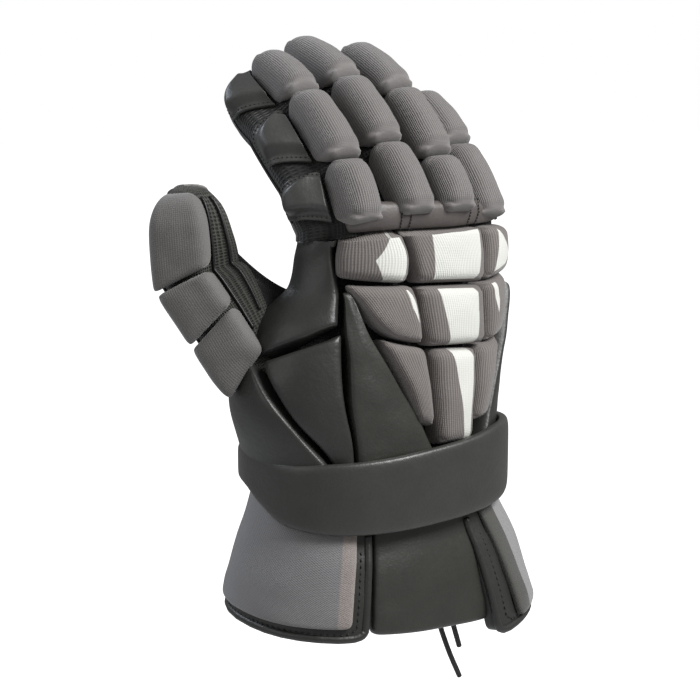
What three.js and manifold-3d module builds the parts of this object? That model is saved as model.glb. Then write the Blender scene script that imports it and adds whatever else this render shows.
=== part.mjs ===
// Right-hand lacrosse glove, standing as if worn, with its fingers curling towards the palm.
// Millimetres, +Z up towards the fingers, -Y the back of the hand, +Y the palm,
// -X the thumb side, +X the little-finger side. The origin is the centre of the wrist.
import * as THREE from 'three';
import { mergeVertices } from 'three/addons/utils/BufferGeometryUtils.js';
import Module from 'manifold-3d';

const wasm = await Module();
wasm.setup();

// Driving sizes
const HAND_LENGTH = 137; // centre of the wrist to the knuckle seam
const HAND_WIDTH = 108; // thumb side to little-finger side at the knuckles
const HAND_DEPTH = 36; // middle of the wrist to the back of it
const FINGER_LENGTH = 120; // knuckle to tip of the middle finger, over its back
const FINGER_WIDTH = 23; // one finger stall across
const FINGER_DEPTH = 24; // one finger stall from back to palm side
const THUMB_LENGTH = 131; // root inside the hand to the tip
const THUMB_WIDTH = 29;
const THUMB_DEPTH = 26;
const CUFF_DROP = 75; // centre of the wrist to the lowest hem
const STRAP_HEIGHT = 36;

// Walls and pads
const LINER_WALL = 2;
const BACK_PAD = 13; // cushions on the back of the hand
const SIDE_PANEL = 11; // smooth panels on the thumb side
const THUMB_BASE = 13; // smooth panel over the root of the thumb
const ULNAR_PANEL = 12; // smooth panel on the little-finger side
const WEDGE_PANEL = 11;
const FINGER_PAD = 10.5; // cushions along the fingers
const FINGER_PAD_WIDTH = 23;
const THUMB_PAD = 10;
const THUMB_PAD_WIDTH = 30;
const FINGER_GUARD = 5.5; // smooth guards on the side of the index finger
const GUARD_FLANGE = 1.6; // flat stitched border of a guard
const KNUCKLE_BAND = 4;
const CUFF_PANEL = 8;
const CUFF_CENTRE = 6;
const CUFF_FACE = 2.6; // textile face inset in a flap
const STRAP_THICKNESS = 6;
const STRAP_SEAT = 10.6; // wrist liner to the inside of the strap
const WEB_WALL = 2; // membrane between thumb and palm
const LACE = 3; // diameter
const EYELET = 7;

// Fits
const GAP = 0.3; // between pieces that touch
const SEAT = 0.9; // under a cushion on the hand
const STALL_SEAT = 0.8; // under a cushion on a finger or the thumb
const SEAM = 0.7; // half of the valley between two cushions
const CUFF_SEAM = 0.25; // half of the slit between two cuff panels
const ROUNDNESS = 2.4; // exponent of the rounded sections

// Half sections of the hand up its length. at: share of HAND_LENGTH,
// radial and ulnar: shares of HAND_WIDTH, back and palm: shares of HAND_DEPTH.
const HAND = [
  { at: -0.16, radial: 0.52, ulnar: 0.52, back: 1.04, palm: 1.04 },
  { at: 0.05, radial: 0.52, ulnar: 0.52, back: 1.02, palm: 1.04 },
  { at: 0.2, radial: 0.54, ulnar: 0.51, back: 0.95, palm: 1.06 },
  { at: 0.4, radial: 0.6, ulnar: 0.53, back: 0.85, palm: 1.05 },
  { at: 0.6, radial: 0.52, ulnar: 0.56, back: 0.77, palm: 0.86 },
  { at: 0.75, radial: 0.385, ulnar: 0.58, back: 0.72, palm: 0.6 },
  { at: 0.97, radial: 0.36, ulnar: 0.6, back: 0.65, palm: 0.36 },
  { at: 1.03, radial: 0.445, ulnar: 0.605, back: 0.73, palm: 0.46 },
  { at: 1.05, radial: 0.445, ulnar: 0.605, back: 0.73, palm: 0.46 },
  { at: 1.065, radial: 0.42, ulnar: 0.58, back: 0.6, palm: 0.38 },
];

// Inside of the cuff. at: share of CUFF_DROP, the others as for the hand.
const CUFF = [
  { at: -1, radial: 0.73, ulnar: 0.775, back: 1.36, palm: 1.36 },
  { at: -0.55, radial: 0.65, ulnar: 0.67, back: 1.23, palm: 1.22 },
  { at: -0.2, radial: 0.575, ulnar: 0.575, back: 1.11, palm: 1.11 },
  { at: 0.1, radial: 0.54, ulnar: 0.54, back: 1.08, palm: 1.08 },
];

// Edges of the strap round the wrist. turn: share of a half turn from the back of the hand,
// top and bottom: shares of STRAP_HEIGHT.
const STRAP = [
  { at: -1, top: 0.64, bottom: 0.06 },
  { at: -0.75, top: 0.7, bottom: 0.2 },
  { at: -0.57, top: 0.74, bottom: 0.22 },
  { at: -0.45, top: 0.69, bottom: -0.12 },
  { at: -0.3, top: 0.72, bottom: -0.23 },
  { at: -0.1, top: 0.78, bottom: -0.25 },
  { at: 0.05, top: 0.86, bottom: -0.22 },
  { at: 0.2, top: 0.94, bottom: -0.17 },
  { at: 0.4, top: 0.92, bottom: -0.06 },
  { at: 0.7, top: 0.76, bottom: 0.06 },
  { at: 1, top: 0.64, bottom: 0.06 },
];

// Backs of the fingers at the knuckles. across, depth and up: shares of the hand's three sizes,
// left: how far the side towards the thumb stands out, as a share of half the stall's width.
const FINGERS = [
  { name: 'index', across: -0.284, depth: -0.73, up: 1.015, left: 1.6 },
  { name: 'middle', across: -0.02, depth: -0.886, up: 1.04, left: 1 },
  { name: 'ring', across: 0.233, depth: -0.853, up: 1.035, left: 1 },
  { name: 'pinky', across: 0.487, depth: -0.64, up: 1, left: 1 },
];

// Finger segments, from the knuckle on. tilt: degrees from upright towards the palm,
// length: share of FINGER_LENGTH over the back of the finger.
const SEGMENTS = [
  { finger: 'index', name: 'base', tilt: 27.5, length: 0.26 },
  { finger: 'index', name: 'mid', tilt: 47, length: 0.36 },
  { finger: 'index', name: 'tip', tilt: 63, length: 0.31 },
  { finger: 'middle', name: 'base', tilt: 37.5, length: 0.32 },
  { finger: 'middle', name: 'mid', tilt: 46.5, length: 0.36 },
  { finger: 'middle', name: 'tip', tilt: 68, length: 0.38 },
  { finger: 'ring', name: 'base', tilt: 34, length: 0.245 },
  { finger: 'ring', name: 'mid', tilt: 43, length: 0.355 },
  { finger: 'ring', name: 'tip', tilt: 62.5, length: 0.365 },
  { finger: 'pinky', name: 'base', tilt: 36.5, length: 0.34 },
  { finger: 'pinky', name: 'tip', tilt: 52, length: 0.33 },
];

// Thumb segments, from its root inside the hand. tilt: degrees from upright, away from the hand.
const THUMB_SEGMENTS = [
  { name: 'root', tilt: 43, length: 0.244 },
  { name: 'base', tilt: 33, length: 0.223 },
  { name: 'mid', tilt: 35, length: 0.2 },
  { name: 'tip', tilt: 4, length: 0.317 },
];
const THUMB_ROOT = { across: -0.472, depth: -0.064, up: 0.304 }; // shares of the hand's sizes
const THUMB_BULGE = 1.8; // its side towards the hand, as a share of half its width
const THUMB_HEADING = 50; // degrees that the thumb leans from sideways towards the palm
const THUMB_ROLL = 272; // degrees that its cushions turn about the thumb, towards the back of the hand

// Section of a stall along it. at: share of its length, width and depth: shares of its full section,
// bulge: share of the bulge that its free side has.
const FINGER_SHAPE = [
  { at: -0.2, width: 1, depth: 1.6, bulge: 0.65 },
  { at: 0, width: 1, depth: 1.5, bulge: 0.7 },
  { at: 0.35, width: 1, depth: 1.4, bulge: 1 },
  { at: 0.7, width: 1, depth: 1.4, bulge: 1 },
  { at: 1, width: 0.98, depth: 1.25, bulge: 0.9 },
];
const THUMB_SHAPE = [
  { at: -0.1, width: 1, depth: 1.1, bulge: 0 },
  { at: 0.3, width: 1, depth: 1.05, bulge: 0.4 },
  { at: 0.65, width: 1, depth: 1.05, bulge: 1 },
  { at: 1, width: 0.96, depth: 0.95, bulge: 0.45 },
];

// Ends of a stall. at: share of the last segment, size: share of the full section.
const STALL_END = [
  { at: 0, size: 1 },
  { at: 0.6, size: 0.98 },
  { at: 0.85, size: 0.86 },
  { at: 1, size: 0.6 },
];

// Cushions on the back of the hand, each from its lower to its upper edge.
// Columns: turn and height of the left and right corners, turn as for the strap,
// height as a share of HAND_LENGTH.
const BACK_PADS = [
  { name: '1a', low: [-0.255, 0.82, -0.02, 0.79], high: [-0.31, 0.985, -0.08, 0.98] },
  { name: '1b', low: [-0.01, 0.79, 0.23, 0.77], high: [-0.07, 0.98, 0.22, 0.967] },
  { name: '1c', low: [0.24, 0.775, 0.47, 0.8], high: [0.23, 0.967, 0.48, 0.95] },
  { name: '2a', low: [-0.12, 0.62, 0.0, 0.57], high: [-0.222, 0.8, -0.02, 0.78] },
  { name: '2b', low: [0.01, 0.56, 0.25, 0.54], high: [0.0, 0.77, 0.22, 0.76] },
  { name: '2c', low: [0.26, 0.55, 0.37, 0.59], high: [0.23, 0.77, 0.42, 0.79] },
  { name: '3a', low: [-0.03, 0.29, 0.01, 0.27], high: [-0.12, 0.61, 0.01, 0.55] },
  { name: '3b', low: [0.02, 0.2, 0.15, 0.19], high: [0.02, 0.54, 0.2, 0.52] },
  { name: '3c', low: [0.18, 0.27, 0.22, 0.28], high: [0.21, 0.53, 0.35, 0.57] },
];

// Smooth panels, in rows from the lower edge up, with the columns of the back cushions.
const SIDE_PANEL_UPPER = [
  [-0.56, 0.53, -0.24, 0.66],
  [-0.62, 0.62, -0.245, 0.73],
  [-0.53, 0.72, -0.25, 0.81],
  [-0.48, 0.83, -0.27, 0.9],
  [-0.46, 0.93, -0.29, 0.97],
];
const SIDE_PANEL_LOWER = [
  [-0.26, 0.14, -0.21, 0.14],
  [-0.29, 0.21, -0.212, 0.25],
  [-0.36, 0.34, -0.225, 0.38],
  [-0.44, 0.44, -0.23, 0.51],
  [-0.5, 0.5, -0.24, 0.63],
];
const THUMB_BASE_PANEL = [
  [-0.84, 0.12, -0.27, 0.14],
  [-0.86, 0.2, -0.3, 0.21],
  [-0.88, 0.3, -0.37, 0.34],
  [-0.86, 0.42, -0.45, 0.44],
  [-0.72, 0.57, -0.57, 0.52],
];
const WEDGE_INNER = [
  [-0.2, 0.14, 0.01, 0.15],
  [-0.205, 0.3, -0.05, 0.32],
  [-0.21, 0.5, -0.12, 0.52],
  [-0.238, 0.77, -0.232, 0.78],
];
const ULNAR_SIDE = [
  [0.17, 0.15, 0.66, 0.15],
  [0.24, 0.3, 0.7, 0.3],
  [0.33, 0.5, 0.72, 0.5],
  [0.42, 0.75, 0.62, 0.72],
];
const KNUCKLE_ROW = [
  [-0.31, 0.985, 0.49, 0.955],
  [-0.31, 1.015, 0.49, 0.987],
];

// Guards on the index finger: distance in segments at the palm edge and at the cushion edge.
const GUARDS = [
  { name: 'base', palmEdge: -0.66, palmLow: 0.1, palmHigh: 0.72, backLow: 0.04, backHigh: 0.95 },
  { name: 'mid', palmEdge: -0.64, palmLow: 1.3, palmHigh: 1.72, backLow: 1.03, backHigh: 1.95 },
  { name: 'tip', palmEdge: -0.6, palmLow: 2.25, palmHigh: 2.65, backLow: 2.03, backHigh: 2.9 },
];
const GUARD_BACK_EDGE = -0.31;

// Cuff panels, in rows from the hem up: turn and height, height as a share of CUFF_DROP.
const CUFF_CENTRE_ROWS = [
  [-0.15, -0.8, 0.08, -0.89],
  [-0.15, -0.5, 0.08, -0.5],
  [-0.15, 0.08, 0.08, 0.08],
];
const CUFF_LEFT_ROWS = [
  [-1.19, -0.66, -0.15, -0.82],
  [-1.19, -0.4, -0.15, -0.45],
  [-1.19, 0.08, -0.15, 0.08],
];
const CUFF_RIGHT_ROWS = [
  [0.08, -0.99, 0.66, -0.86],
  [0.08, -0.5, 0.66, -0.45],
  [0.08, 0.08, 0.66, 0.08],
];
const FACE_LEFT_ROWS = [
  [-0.72, -0.66, -0.2, -0.74],
  [-0.72, -0.42, -0.2, -0.42],
  [-0.72, -0.03, -0.2, -0.15],
];
const FACE_RIGHT_ROWS = [
  [0.145, -0.92, 0.52, -0.86],
  [0.145, -0.5, 0.52, -0.5],
  [0.145, -0.11, 0.52, -0.05],
];

// Lacing across the gap of the cuff, and its two free ends, each hung from one lacing inside the flap
const LACE_HEIGHTS = [-0.3, -0.62]; // shares of CUFF_DROP
const LACE_LEFT = 0.845; // turn of the eyelets in the left flap
const LACE_RIGHT = 0.625;
const LACE_SHORT_ROUTE = [
  [58, 15, -44],
  [61, 15.5, -60],
  [65, 17, -78],
  [69.5, 17.5, -92],
  [76, 18, -110],
];
const LACE_LONG_ROUTE = [
  [62, 22, -60],
  [62, 25, -74],
  [65, 25, -90],
  [73, 24.5, -112],
  [82, 24, -131],
];

// Finishes
const RIBBED_TEXTILE = { color: 0x737172, roughness: 0.85, metalness: 0 };
const SMOOTH_LEATHER = { color: 0x3b3b39, roughness: 0.5, metalness: 0 };
const PALM_LEATHER = { color: 0x6b6968, roughness: 0.75, metalness: 0 };
const BLACK_MESH = { color: 0x1a1b1a, roughness: 0.9, metalness: 0 };
const CUFF_TEXTILE = { color: 0x6c6c6e, roughness: 0.8, metalness: 0 };
const CUFF_LEATHER = { color: 0x4e5149, roughness: 0.55, metalness: 0 };
const LACE_BRAID = { color: 0x101011, roughness: 0.8, metalness: 0 };

const glove = new THREE.Group();

function add(name, geometry, finish) {
  const shaded = geometry.index ? geometry.toNonIndexed() : geometry;
  shaded.computeVertexNormals();
  const mesh = new THREE.Mesh(shaded, new THREE.MeshStandardMaterial(finish));
  mesh.name = name;
  glove.add(mesh);
}

// A row of a table at any place, on a smooth curve through its rows
function sample(table, at) {
  const place = THREE.MathUtils.clamp(at, table[0].at, table[table.length - 1].at);
  let i = 0;
  while (i < table.length - 2 && table[i + 1].at <= place) i += 1;
  const before = table[Math.max(i - 1, 0)];
  const from = table[i];
  const to = table[i + 1];
  const after = table[Math.min(i + 2, table.length - 1)];
  const span = to.at - from.at;
  const s = (place - from.at) / span;
  const result = {};
  for (const key of Object.keys(from)) {
    if (key === 'at') continue;
    const slopeFrom = (to[key] - before[key]) / (to.at - before.at);
    const slopeTo = (after[key] - from[key]) / (after.at - from.at);
    result[key] = (2 * s ** 3 - 3 * s ** 2 + 1) * from[key]
      + (s ** 3 - 2 * s ** 2 + s) * span * slopeFrom
      + (3 * s ** 2 - 2 * s ** 3) * to[key]
      + (s ** 3 - s ** 2) * span * slopeTo;
  }
  return result;
}

// A number raised to a power with its sign kept
function bend(value, power) {
  return Math.sign(value) * Math.abs(value) ** power;
}

// A point of a rounded section round the hand. turn 0 is the back of the hand, 0.5 the
// little-finger side; size holds the four half lengths.
function sectionPoint(turn, size, z) {
  const across = Math.sin(Math.PI * turn);
  const depth = Math.cos(Math.PI * turn);
  const x = (across > 0 ? size.ulnar : size.radial) * bend(across, 2 / ROUNDNESS);
  const y = -(depth > 0 ? size.back : size.palm) * bend(depth, 2 / ROUNDNESS);
  return new THREE.Vector3(x, y, z);
}

function grown(row, by) {
  return {
    radial: row.radial * HAND_WIDTH + by,
    ulnar: row.ulnar * HAND_WIDTH + by,
    back: row.back * HAND_DEPTH + by,
    palm: row.palm * HAND_DEPTH + by,
  };
}

function handSurface(turn, height) {
  return sectionPoint(turn, grown(sample(HAND, height), 0), height * HAND_LENGTH);
}

function cuffSurface(turn, height) {
  return sectionPoint(turn, grown(sample(CUFF, height), 0), height * CUFF_DROP);
}

// A point of a surface moved along its outward normal
function lifted(surface, turn, height, lift) {
  const step = 1e-3;
  const alongTurn = surface(turn + step, height).sub(surface(turn - step, height));
  const alongHeight = surface(turn, height + step).sub(surface(turn, height - step));
  const normal = alongTurn.cross(alongHeight).normalize();
  return surface(turn, height).addScaledVector(normal, lift);
}

// Closed geometry from points and triangles, with its faces outward
function closedGeometry(points, triangles) {
  const geometry = new THREE.BufferGeometry().setFromPoints(points);
  let volume = 0;
  for (const [a, b, c] of triangles) {
    volume += points[a].dot(points[b].clone().cross(points[c]));
  }
  geometry.setIndex(triangles.flatMap(([a, b, c]) => (volume < 0 ? [a, c, b] : [a, b, c])));
  return geometry;
}

// A solid through closed rings of points, capped at both ends. cap: triangles of a ring's points;
// without them each end is closed from its middle.
function loft(rings, cap = null) {
  const sides = rings[0].length;
  const points = rings.flat();
  const triangles = [];
  for (let r = 0; r + 1 < rings.length; r += 1) {
    for (let i = 0; i < sides; i += 1) {
      const a = r * sides + i;
      const b = r * sides + ((i + 1) % sides);
      triangles.push([a, b, b + sides], [a, b + sides, a + sides]);
    }
  }
  for (const [ring, flip] of [[0, true], [rings.length - 1, false]]) {
    if (cap) {
      for (const corners of cap) {
        const [a, b, c] = corners.map((corner) => ring * sides + corner);
        triangles.push(flip ? [c, b, a] : [a, b, c]);
      }
      continue;
    }
    const centre = new THREE.Vector3();
    for (const point of rings[ring]) centre.addScaledVector(point, 1 / sides);
    points.push(centre);
    for (let i = 0; i < sides; i += 1) {
      const a = ring * sides + i;
      const b = ring * sides + ((i + 1) % sides);
      triangles.push(flip ? [points.length - 1, b, a] : [points.length - 1, a, b]);
    }
  }
  return closedGeometry(points, triangles);
}

// Cap of a crescent ring: one row of points, then a second row that runs back beside it
function crescentCap(first, second) {
  const triangles = [];
  let a = 0;
  let b = first + second - 1;
  while (a < first - 1 || b > first) {
    const ahead = (a + 1) / (first - 1);
    const back = (first + second - b) / (second - 1);
    if (a < first - 1 && (b === first || ahead <= back)) {
      triangles.push([a, a + 1, b]);
      a += 1;
    } else {
      triangles.push([a, b - 1, b]);
      b -= 1;
    }
  }
  return triangles;
}

// A solid through sections that go all the way round and meet again
function closedRing(sections) {
  const sides = sections[0].length;
  const triangles = [];
  for (let r = 0; r < sections.length; r += 1) {
    const next = ((r + 1) % sections.length) * sides;
    for (let i = 0; i < sides; i += 1) {
      const j = (i + 1) % sides;
      triangles.push([r * sides + i, r * sides + j, next + j], [r * sides + i, next + j, next + i]);
    }
  }
  return closedGeometry(sections.flat(), triangles);
}

// A solid between two grids of points of the same shape, the second above the first
function slab(under, over) {
  const rows = under.length;
  const columns = under[0].length;
  const points = [...under.flat(), ...over.flat()];
  const top = rows * columns;
  const triangles = [];
  for (let r = 0; r + 1 < rows; r += 1) {
    for (let c = 0; c + 1 < columns; c += 1) {
      const a = r * columns + c;
      const b = a + 1;
      const d = a + columns;
      triangles.push([a, d + 1, b], [a, d, d + 1]);
      triangles.push([top + a, top + b, top + d + 1], [top + a, top + d + 1, top + d]);
    }
  }
  const border = [];
  for (let c = 0; c + 1 < columns; c += 1) border.push(c);
  for (let r = 0; r + 1 < rows; r += 1) border.push(r * columns + columns - 1);
  for (let c = columns - 1; c > 0; c -= 1) border.push((rows - 1) * columns + c);
  for (let r = rows - 1; r > 0; r -= 1) border.push(r * columns);
  border.forEach((a, i) => {
    const b = border[(i + 1) % border.length];
    triangles.push([a, b, top + b], [a, top + b, top + a]);
  });
  return closedGeometry(points, triangles);
}

// Heights across a cushion. place: -1 to 1 from border to border, height: share of its thickness.
const PUFFED = [
  { place: -1, height: 0.5 },
  { place: -0.84, height: 0.86 },
  { place: -0.4, height: 1 },
  { place: 0.4, height: 1 },
  { place: 0.84, height: 0.86 },
  { place: 1, height: 0.5 },
];
const FLAT = [
  { place: -1, height: 0.55 },
  { place: -0.94, height: 0.95 },
  { place: -0.6, height: 1 },
  { place: 0, height: 1 },
  { place: 0.6, height: 1 },
  { place: 0.94, height: 0.95 },
  { place: 1, height: 0.55 },
];
// From the hem up to the strap, which the panel tucks under
const TUCKED = [
  { place: -1, height: 0.55 },
  { place: -0.94, height: 0.95 },
  { place: -0.6, height: 1 },
  { place: -0.2, height: 1 },
  { place: 0.25, height: 1 },
  { place: 0.5, height: 0.7 },
  { place: 1, height: 0.5 },
];
const FLANGED = [
  { place: -1, height: GUARD_FLANGE / FINGER_GUARD },
  { place: -0.72, height: GUARD_FLANGE / FINGER_GUARD },
  { place: -0.35, height: 1 },
  { place: 0.35, height: 1 },
  { place: 0.72, height: GUARD_FLANGE / FINGER_GUARD },
  { place: 1, height: GUARD_FLANGE / FINGER_GUARD },
];

// A profile with more stations, for long panels
function refined(profile, steps) {
  const table = profile.map((row) => ({ at: row.place, height: row.height }));
  const inner = table[1].at;
  const result = [{ place: -1, height: table[0].height }];
  for (let i = 0; i <= steps; i += 1) {
    const place = inner + ((-2 * inner) * i) / steps;
    result.push({ place, height: Math.min(sample(table, place).height, 1) });
  }
  result.push({ place: 1, height: table[0].height });
  return result;
}

// A cushion on a surface. rows: corner turns and heights from the lower edge up;
// corner: how far the corners are drawn in, as a share; seat: room under it; seam: room beside it.
function cushion(surface, rows, thickness, shape = {}) {
  const { across = PUFFED, up = PUFFED, corner = 0.25, seat = SEAT, seam = SEAM } = shape;
  const edge = (t) => {
    const along = ((t + 1) / 2) * (rows.length - 1);
    const i = Math.min(Math.floor(along), rows.length - 2);
    return rows[i].map((value, k) => THREE.MathUtils.lerp(value, rows[i + 1][k], along - i));
  };
  const place = (s, t, lift) => {
    const pulledS = s * Math.sqrt(1 - (corner * t * t) / 2);
    const pulledT = t * Math.sqrt(1 - (corner * s * s) / 2);
    const [leftTurn, leftHeight, rightTurn, rightHeight] = edge(pulledT);
    const share = (pulledS + 1) / 2;
    return lifted(surface, THREE.MathUtils.lerp(leftTurn, rightTurn, share),
      THREE.MathUtils.lerp(leftHeight, rightHeight, share), lift);
  };
  const width = place(-1, 0, 0).distanceTo(place(1, 0, 0));
  const length = place(0, -1, 0).distanceTo(place(0, 1, 0));
  const keepAcross = 1 - (2 * seam) / width;
  const keepUp = 1 - (2 * seam) / length;
  const grid = (top) => up.map((row) => across.map((column) => {
    const height = top * thickness * row.height * column.height;
    return place(column.place * keepAcross, row.place * keepUp, seat + height);
  }));
  return slab(grid(0), grid(1));
}

// Solids for cutting and joining
function solid(geometry) {
  const bare = geometry.clone();
  bare.deleteAttribute('normal');
  bare.deleteAttribute('uv');
  const merged = mergeVertices(bare, 1e-4);
  const mesh = new wasm.Mesh({
    numProp: 3,
    vertProperties: new Float32Array(merged.attributes.position.array),
    triVerts: new Uint32Array(merged.index.array),
  });
  return new wasm.Manifold(mesh);
}

// The geometry of a cut body, without the crumbs that the cut left beside it
function geometryOf(body) {
  const main = body.decompose().reduce((kept, other) => (other.volume() > kept.volume() ? other : kept));
  const mesh = main.getMesh();
  const geometry = new THREE.BufferGeometry();
  geometry.setAttribute('position', new THREE.BufferAttribute(new Float32Array(mesh.vertProperties), 3));
  geometry.setIndex(new THREE.BufferAttribute(new Uint32Array(mesh.triVerts), 1));
  return geometry;
}

function box(from, to) {
  const low = new THREE.Vector3(...from);
  const high = new THREE.Vector3(...to);
  const size = high.clone().sub(low);
  const middle = low.add(high).multiplyScalar(0.5);
  return new THREE.BoxGeometry(size.x, size.y, size.z).translate(middle.x, middle.y, middle.z);
}

// A chain of straight segments that bends in one plane. It gives a point and three directions
// at any place: 0 is the root, and each segment is 1 long. startTilt: tilt of what it grows from.
function chain(root, heading, segments, roll, startTilt) {
  const joints = [root];
  const lean = (tilt) => {
    const angle = THREE.MathUtils.degToRad(tilt);
    return heading.clone().multiplyScalar(Math.sin(angle)).setZ(Math.cos(angle));
  };
  for (const segment of segments) {
    joints.push(joints[joints.length - 1].clone().addScaledVector(lean(segment.tilt), segment.length));
  }
  const tiltAt = (place) => {
    const i = THREE.MathUtils.clamp(Math.floor(place), 0, segments.length - 1);
    const own = segments[i].tilt;
    const before = (own + (i > 0 ? segments[i - 1].tilt : startTilt)) / 2;
    const after = (own + segments[Math.min(i + 1, segments.length - 1)].tilt) / 2;
    const share = THREE.MathUtils.clamp(place - i, 0, 1);
    return share < 0.5
      ? THREE.MathUtils.lerp(before, own, share * 2)
      : THREE.MathUtils.lerp(own, after, share * 2 - 1);
  };
  return (place) => {
    const i = THREE.MathUtils.clamp(Math.floor(place), 0, segments.length - 1);
    const tilt = tiltAt(place);
    const along = lean(tilt);
    const direction = lean(place < 0 ? startTilt : segments[i].tilt);
    const spot = joints[i].clone().addScaledVector(direction, (place - i) * segments[i].length);
    const dorsal = lean(tilt - 90).applyAxisAngle(along, THREE.MathUtils.degToRad(roll));
    return { spot, along, dorsal, across: along.clone().cross(dorsal) };
  };
}

// Sections of a stall up a chain. anchor: 1 where the chain is its back, 0 where it is its middle.
function stallFrames(path, count, shape, size, anchor) {
  return (place) => {
    const frame = path(place);
    const { width, depth, bulge } = sample(shape, place / count);
    const end = place > count - 1 ? sample(STALL_END, place - count + 1).size : 1;
    frame.halfWidth = (size.width / 2) * width * end;
    frame.halfDepth = (size.depth / 2) * depth * end;
    frame.left = 1 + (size.left - 1) * bulge;
    frame.right = 1 + (size.right - 1) * bulge;
    frame.spot.addScaledVector(frame.dorsal, -anchor * frame.halfDepth);
    return frame;
  };
}

// The surface of a stall. turn 0 is its dorsal side. Its sides bulge only below the cushion.
function stallSurface(frames) {
  return (turn, place) => {
    const { spot, dorsal, across, halfWidth, halfDepth, left, right } = frames(place);
    const bulge = THREE.MathUtils.smoothstep(Math.abs(turn), PAD_EDGE, 0.5);
    const side = halfWidth * THREE.MathUtils.lerp(1, turn < 0 ? left : right, bulge);
    return spot.addScaledVector(across, side * bend(Math.sin(Math.PI * turn), 2 / ROUNDNESS))
      .addScaledVector(dorsal, halfDepth * bend(Math.cos(Math.PI * turn), 2 / ROUNDNESS));
  };
}

const STALL_SIDES = 10;
const PAD_EDGE = 0.28; // turn of a cushion's lower border on the stall
const PALM_SHARE = 0.62; // the palm piece starts this far below the middle of a stall

function tube(surface, places, lift) {
  return loft(places.map((place) => Array.from({ length: STALL_SIDES }, (_, i) => (
    lifted(surface, (2 * i) / STALL_SIDES - 1, place, lift)))));
}

// Places of the rings up a stall, from inside the hand to short of its end
function stallPlaces(start, count, short) {
  const places = [start];
  for (let i = 0; i < count; i += 1) places.push(i);
  places.push(count - 0.4, count - 0.15, count - short);
  return places;
}

// The part of a stall towards the palm, for cutting
function palmSide(frames, count, start, gap) {
  const reach = 2;
  const places = [start, ...stallPlaces(start, count, 0).slice(1, -1), count + 0.2];
  return loft(places.map((place) => {
    const { spot, dorsal, across, halfWidth, halfDepth, left, right } = frames(place);
    const level = -PALM_SHARE * halfDepth + gap;
    const low = -halfWidth * left - reach;
    const high = halfWidth * right + reach;
    const corner = (side, rise) => spot.clone().addScaledVector(across, side).addScaledVector(dorsal, rise);
    const floor = -halfDepth - reach;
    return [corner(low, level), corner(high, level), corner(high, floor), corner(low, floor)];
  }));
}

// Hand liner
const HAND_SIDES = 18;
const HAND_START = -0.16; // shares of HAND_LENGTH
const HAND_END = 1.065;
const HAND_RINGS = [0.05, 0.15, 0.25, 0.4, 0.5, 0.6, 0.68, 0.75, 0.86, 0.97, 1.03, 1.05];
const HAND_INNER_RINGS = [0.15, 0.4, 0.6, 0.75, 0.97, 1.03];
const wallShare = LINER_WALL / HAND_LENGTH;
const handRing = (at, lift) => Array.from({ length: HAND_SIDES }, (_, i) => (
  sectionPoint((2 * i) / HAND_SIDES - 1, grown(sample(HAND, at), lift), at * HAND_LENGTH)));
const handLoft = (places, lift) => solid(loft(places.map((at) => handRing(at, lift))));
const handOuter = handLoft([HAND_START, ...HAND_RINGS, HAND_END], 0);
const handClear = handLoft([HAND_START, ...HAND_RINGS, HAND_END + GAP / HAND_LENGTH], GAP);
const handInner = handLoft([HAND_START - wallShare, ...HAND_INNER_RINGS, HAND_END - wallShare], -LINER_WALL);

// A point from shares of the hand's three sizes
function inHand({ across, depth, up }) {
  return new THREE.Vector3(across * HAND_WIDTH, depth * HAND_DEPTH, up * HAND_LENGTH);
}

// Finger stalls
const KNUCKLE_HEIGHT = 1.01 * HAND_LENGTH;
const belowKnuckles = (raise) => solid(box([-2 * HAND_WIDTH, -2 * HAND_WIDTH, 0],
  [2 * HAND_WIDTH, 2 * HAND_WIDTH, KNUCKLE_HEIGHT + raise]));
const fingers = FINGERS.map((finger) => {
  const segments = SEGMENTS.filter((row) => row.finger === finger.name)
    .map((row) => ({ ...row, length: row.length * FINGER_LENGTH }));
  const count = segments.length;
  const root = inHand(finger);
  const path = chain(root, new THREE.Vector3(0, 1, 0), segments, 0, 0);
  const size = { width: FINGER_WIDTH, depth: FINGER_DEPTH, left: finger.left, right: 1 };
  const frames = stallFrames(path, count, FINGER_SHAPE, size, 1);
  const surface = stallSurface(frames);
  const start = (-0.12 * HAND_LENGTH) / segments[0].length;
  const tip = LINER_WALL / segments[count - 1].length;
  return {
    name: finger.name,
    segments,
    frames,
    count,
    surface,
    outer: solid(tube(surface, stallPlaces(start, count, 0), 0)).subtract(belowKnuckles(0)),
    inner: solid(tube(surface, stallPlaces(start, count, tip), -LINER_WALL))
      .subtract(belowKnuckles(LINER_WALL)),
    palm: solid(palmSide(frames, count, -0.1, 0)),
    palmClear: solid(palmSide(frames, count, -0.1, GAP)),
  };
});

// Thumb stall
const thumbHeading = new THREE.Vector3(-Math.cos(THREE.MathUtils.degToRad(THUMB_HEADING)),
  Math.sin(THREE.MathUtils.degToRad(THUMB_HEADING)), 0);
const thumbSegments = THUMB_SEGMENTS.map((row) => ({ ...row, length: row.length * THUMB_LENGTH }));
const thumbCount = thumbSegments.length;
const thumbPath = chain(inHand(THUMB_ROOT), thumbHeading, thumbSegments, THUMB_ROLL, thumbSegments[0].tilt);
const thumbSize = { width: THUMB_WIDTH, depth: THUMB_DEPTH, left: 1, right: THUMB_BULGE };
const thumbFrames = stallFrames(thumbPath, thumbCount, THUMB_SHAPE, thumbSize, 0);
const thumbSurface = stallSurface(thumbFrames);
const thumbTip = LINER_WALL / thumbSegments[thumbCount - 1].length;
const thumbTube = (start, short, lift) => (
  solid(tube(thumbSurface, stallPlaces(start, thumbCount, short), lift)));
const THUMB_START = -0.2;
const thumbOuter = thumbTube(THUMB_START, 0, 0);
const thumbClear = thumbTube(1.1 * THUMB_START, 0, GAP);
const thumbInner = thumbTube(THUMB_START, thumbTip, -LINER_WALL);
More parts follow.
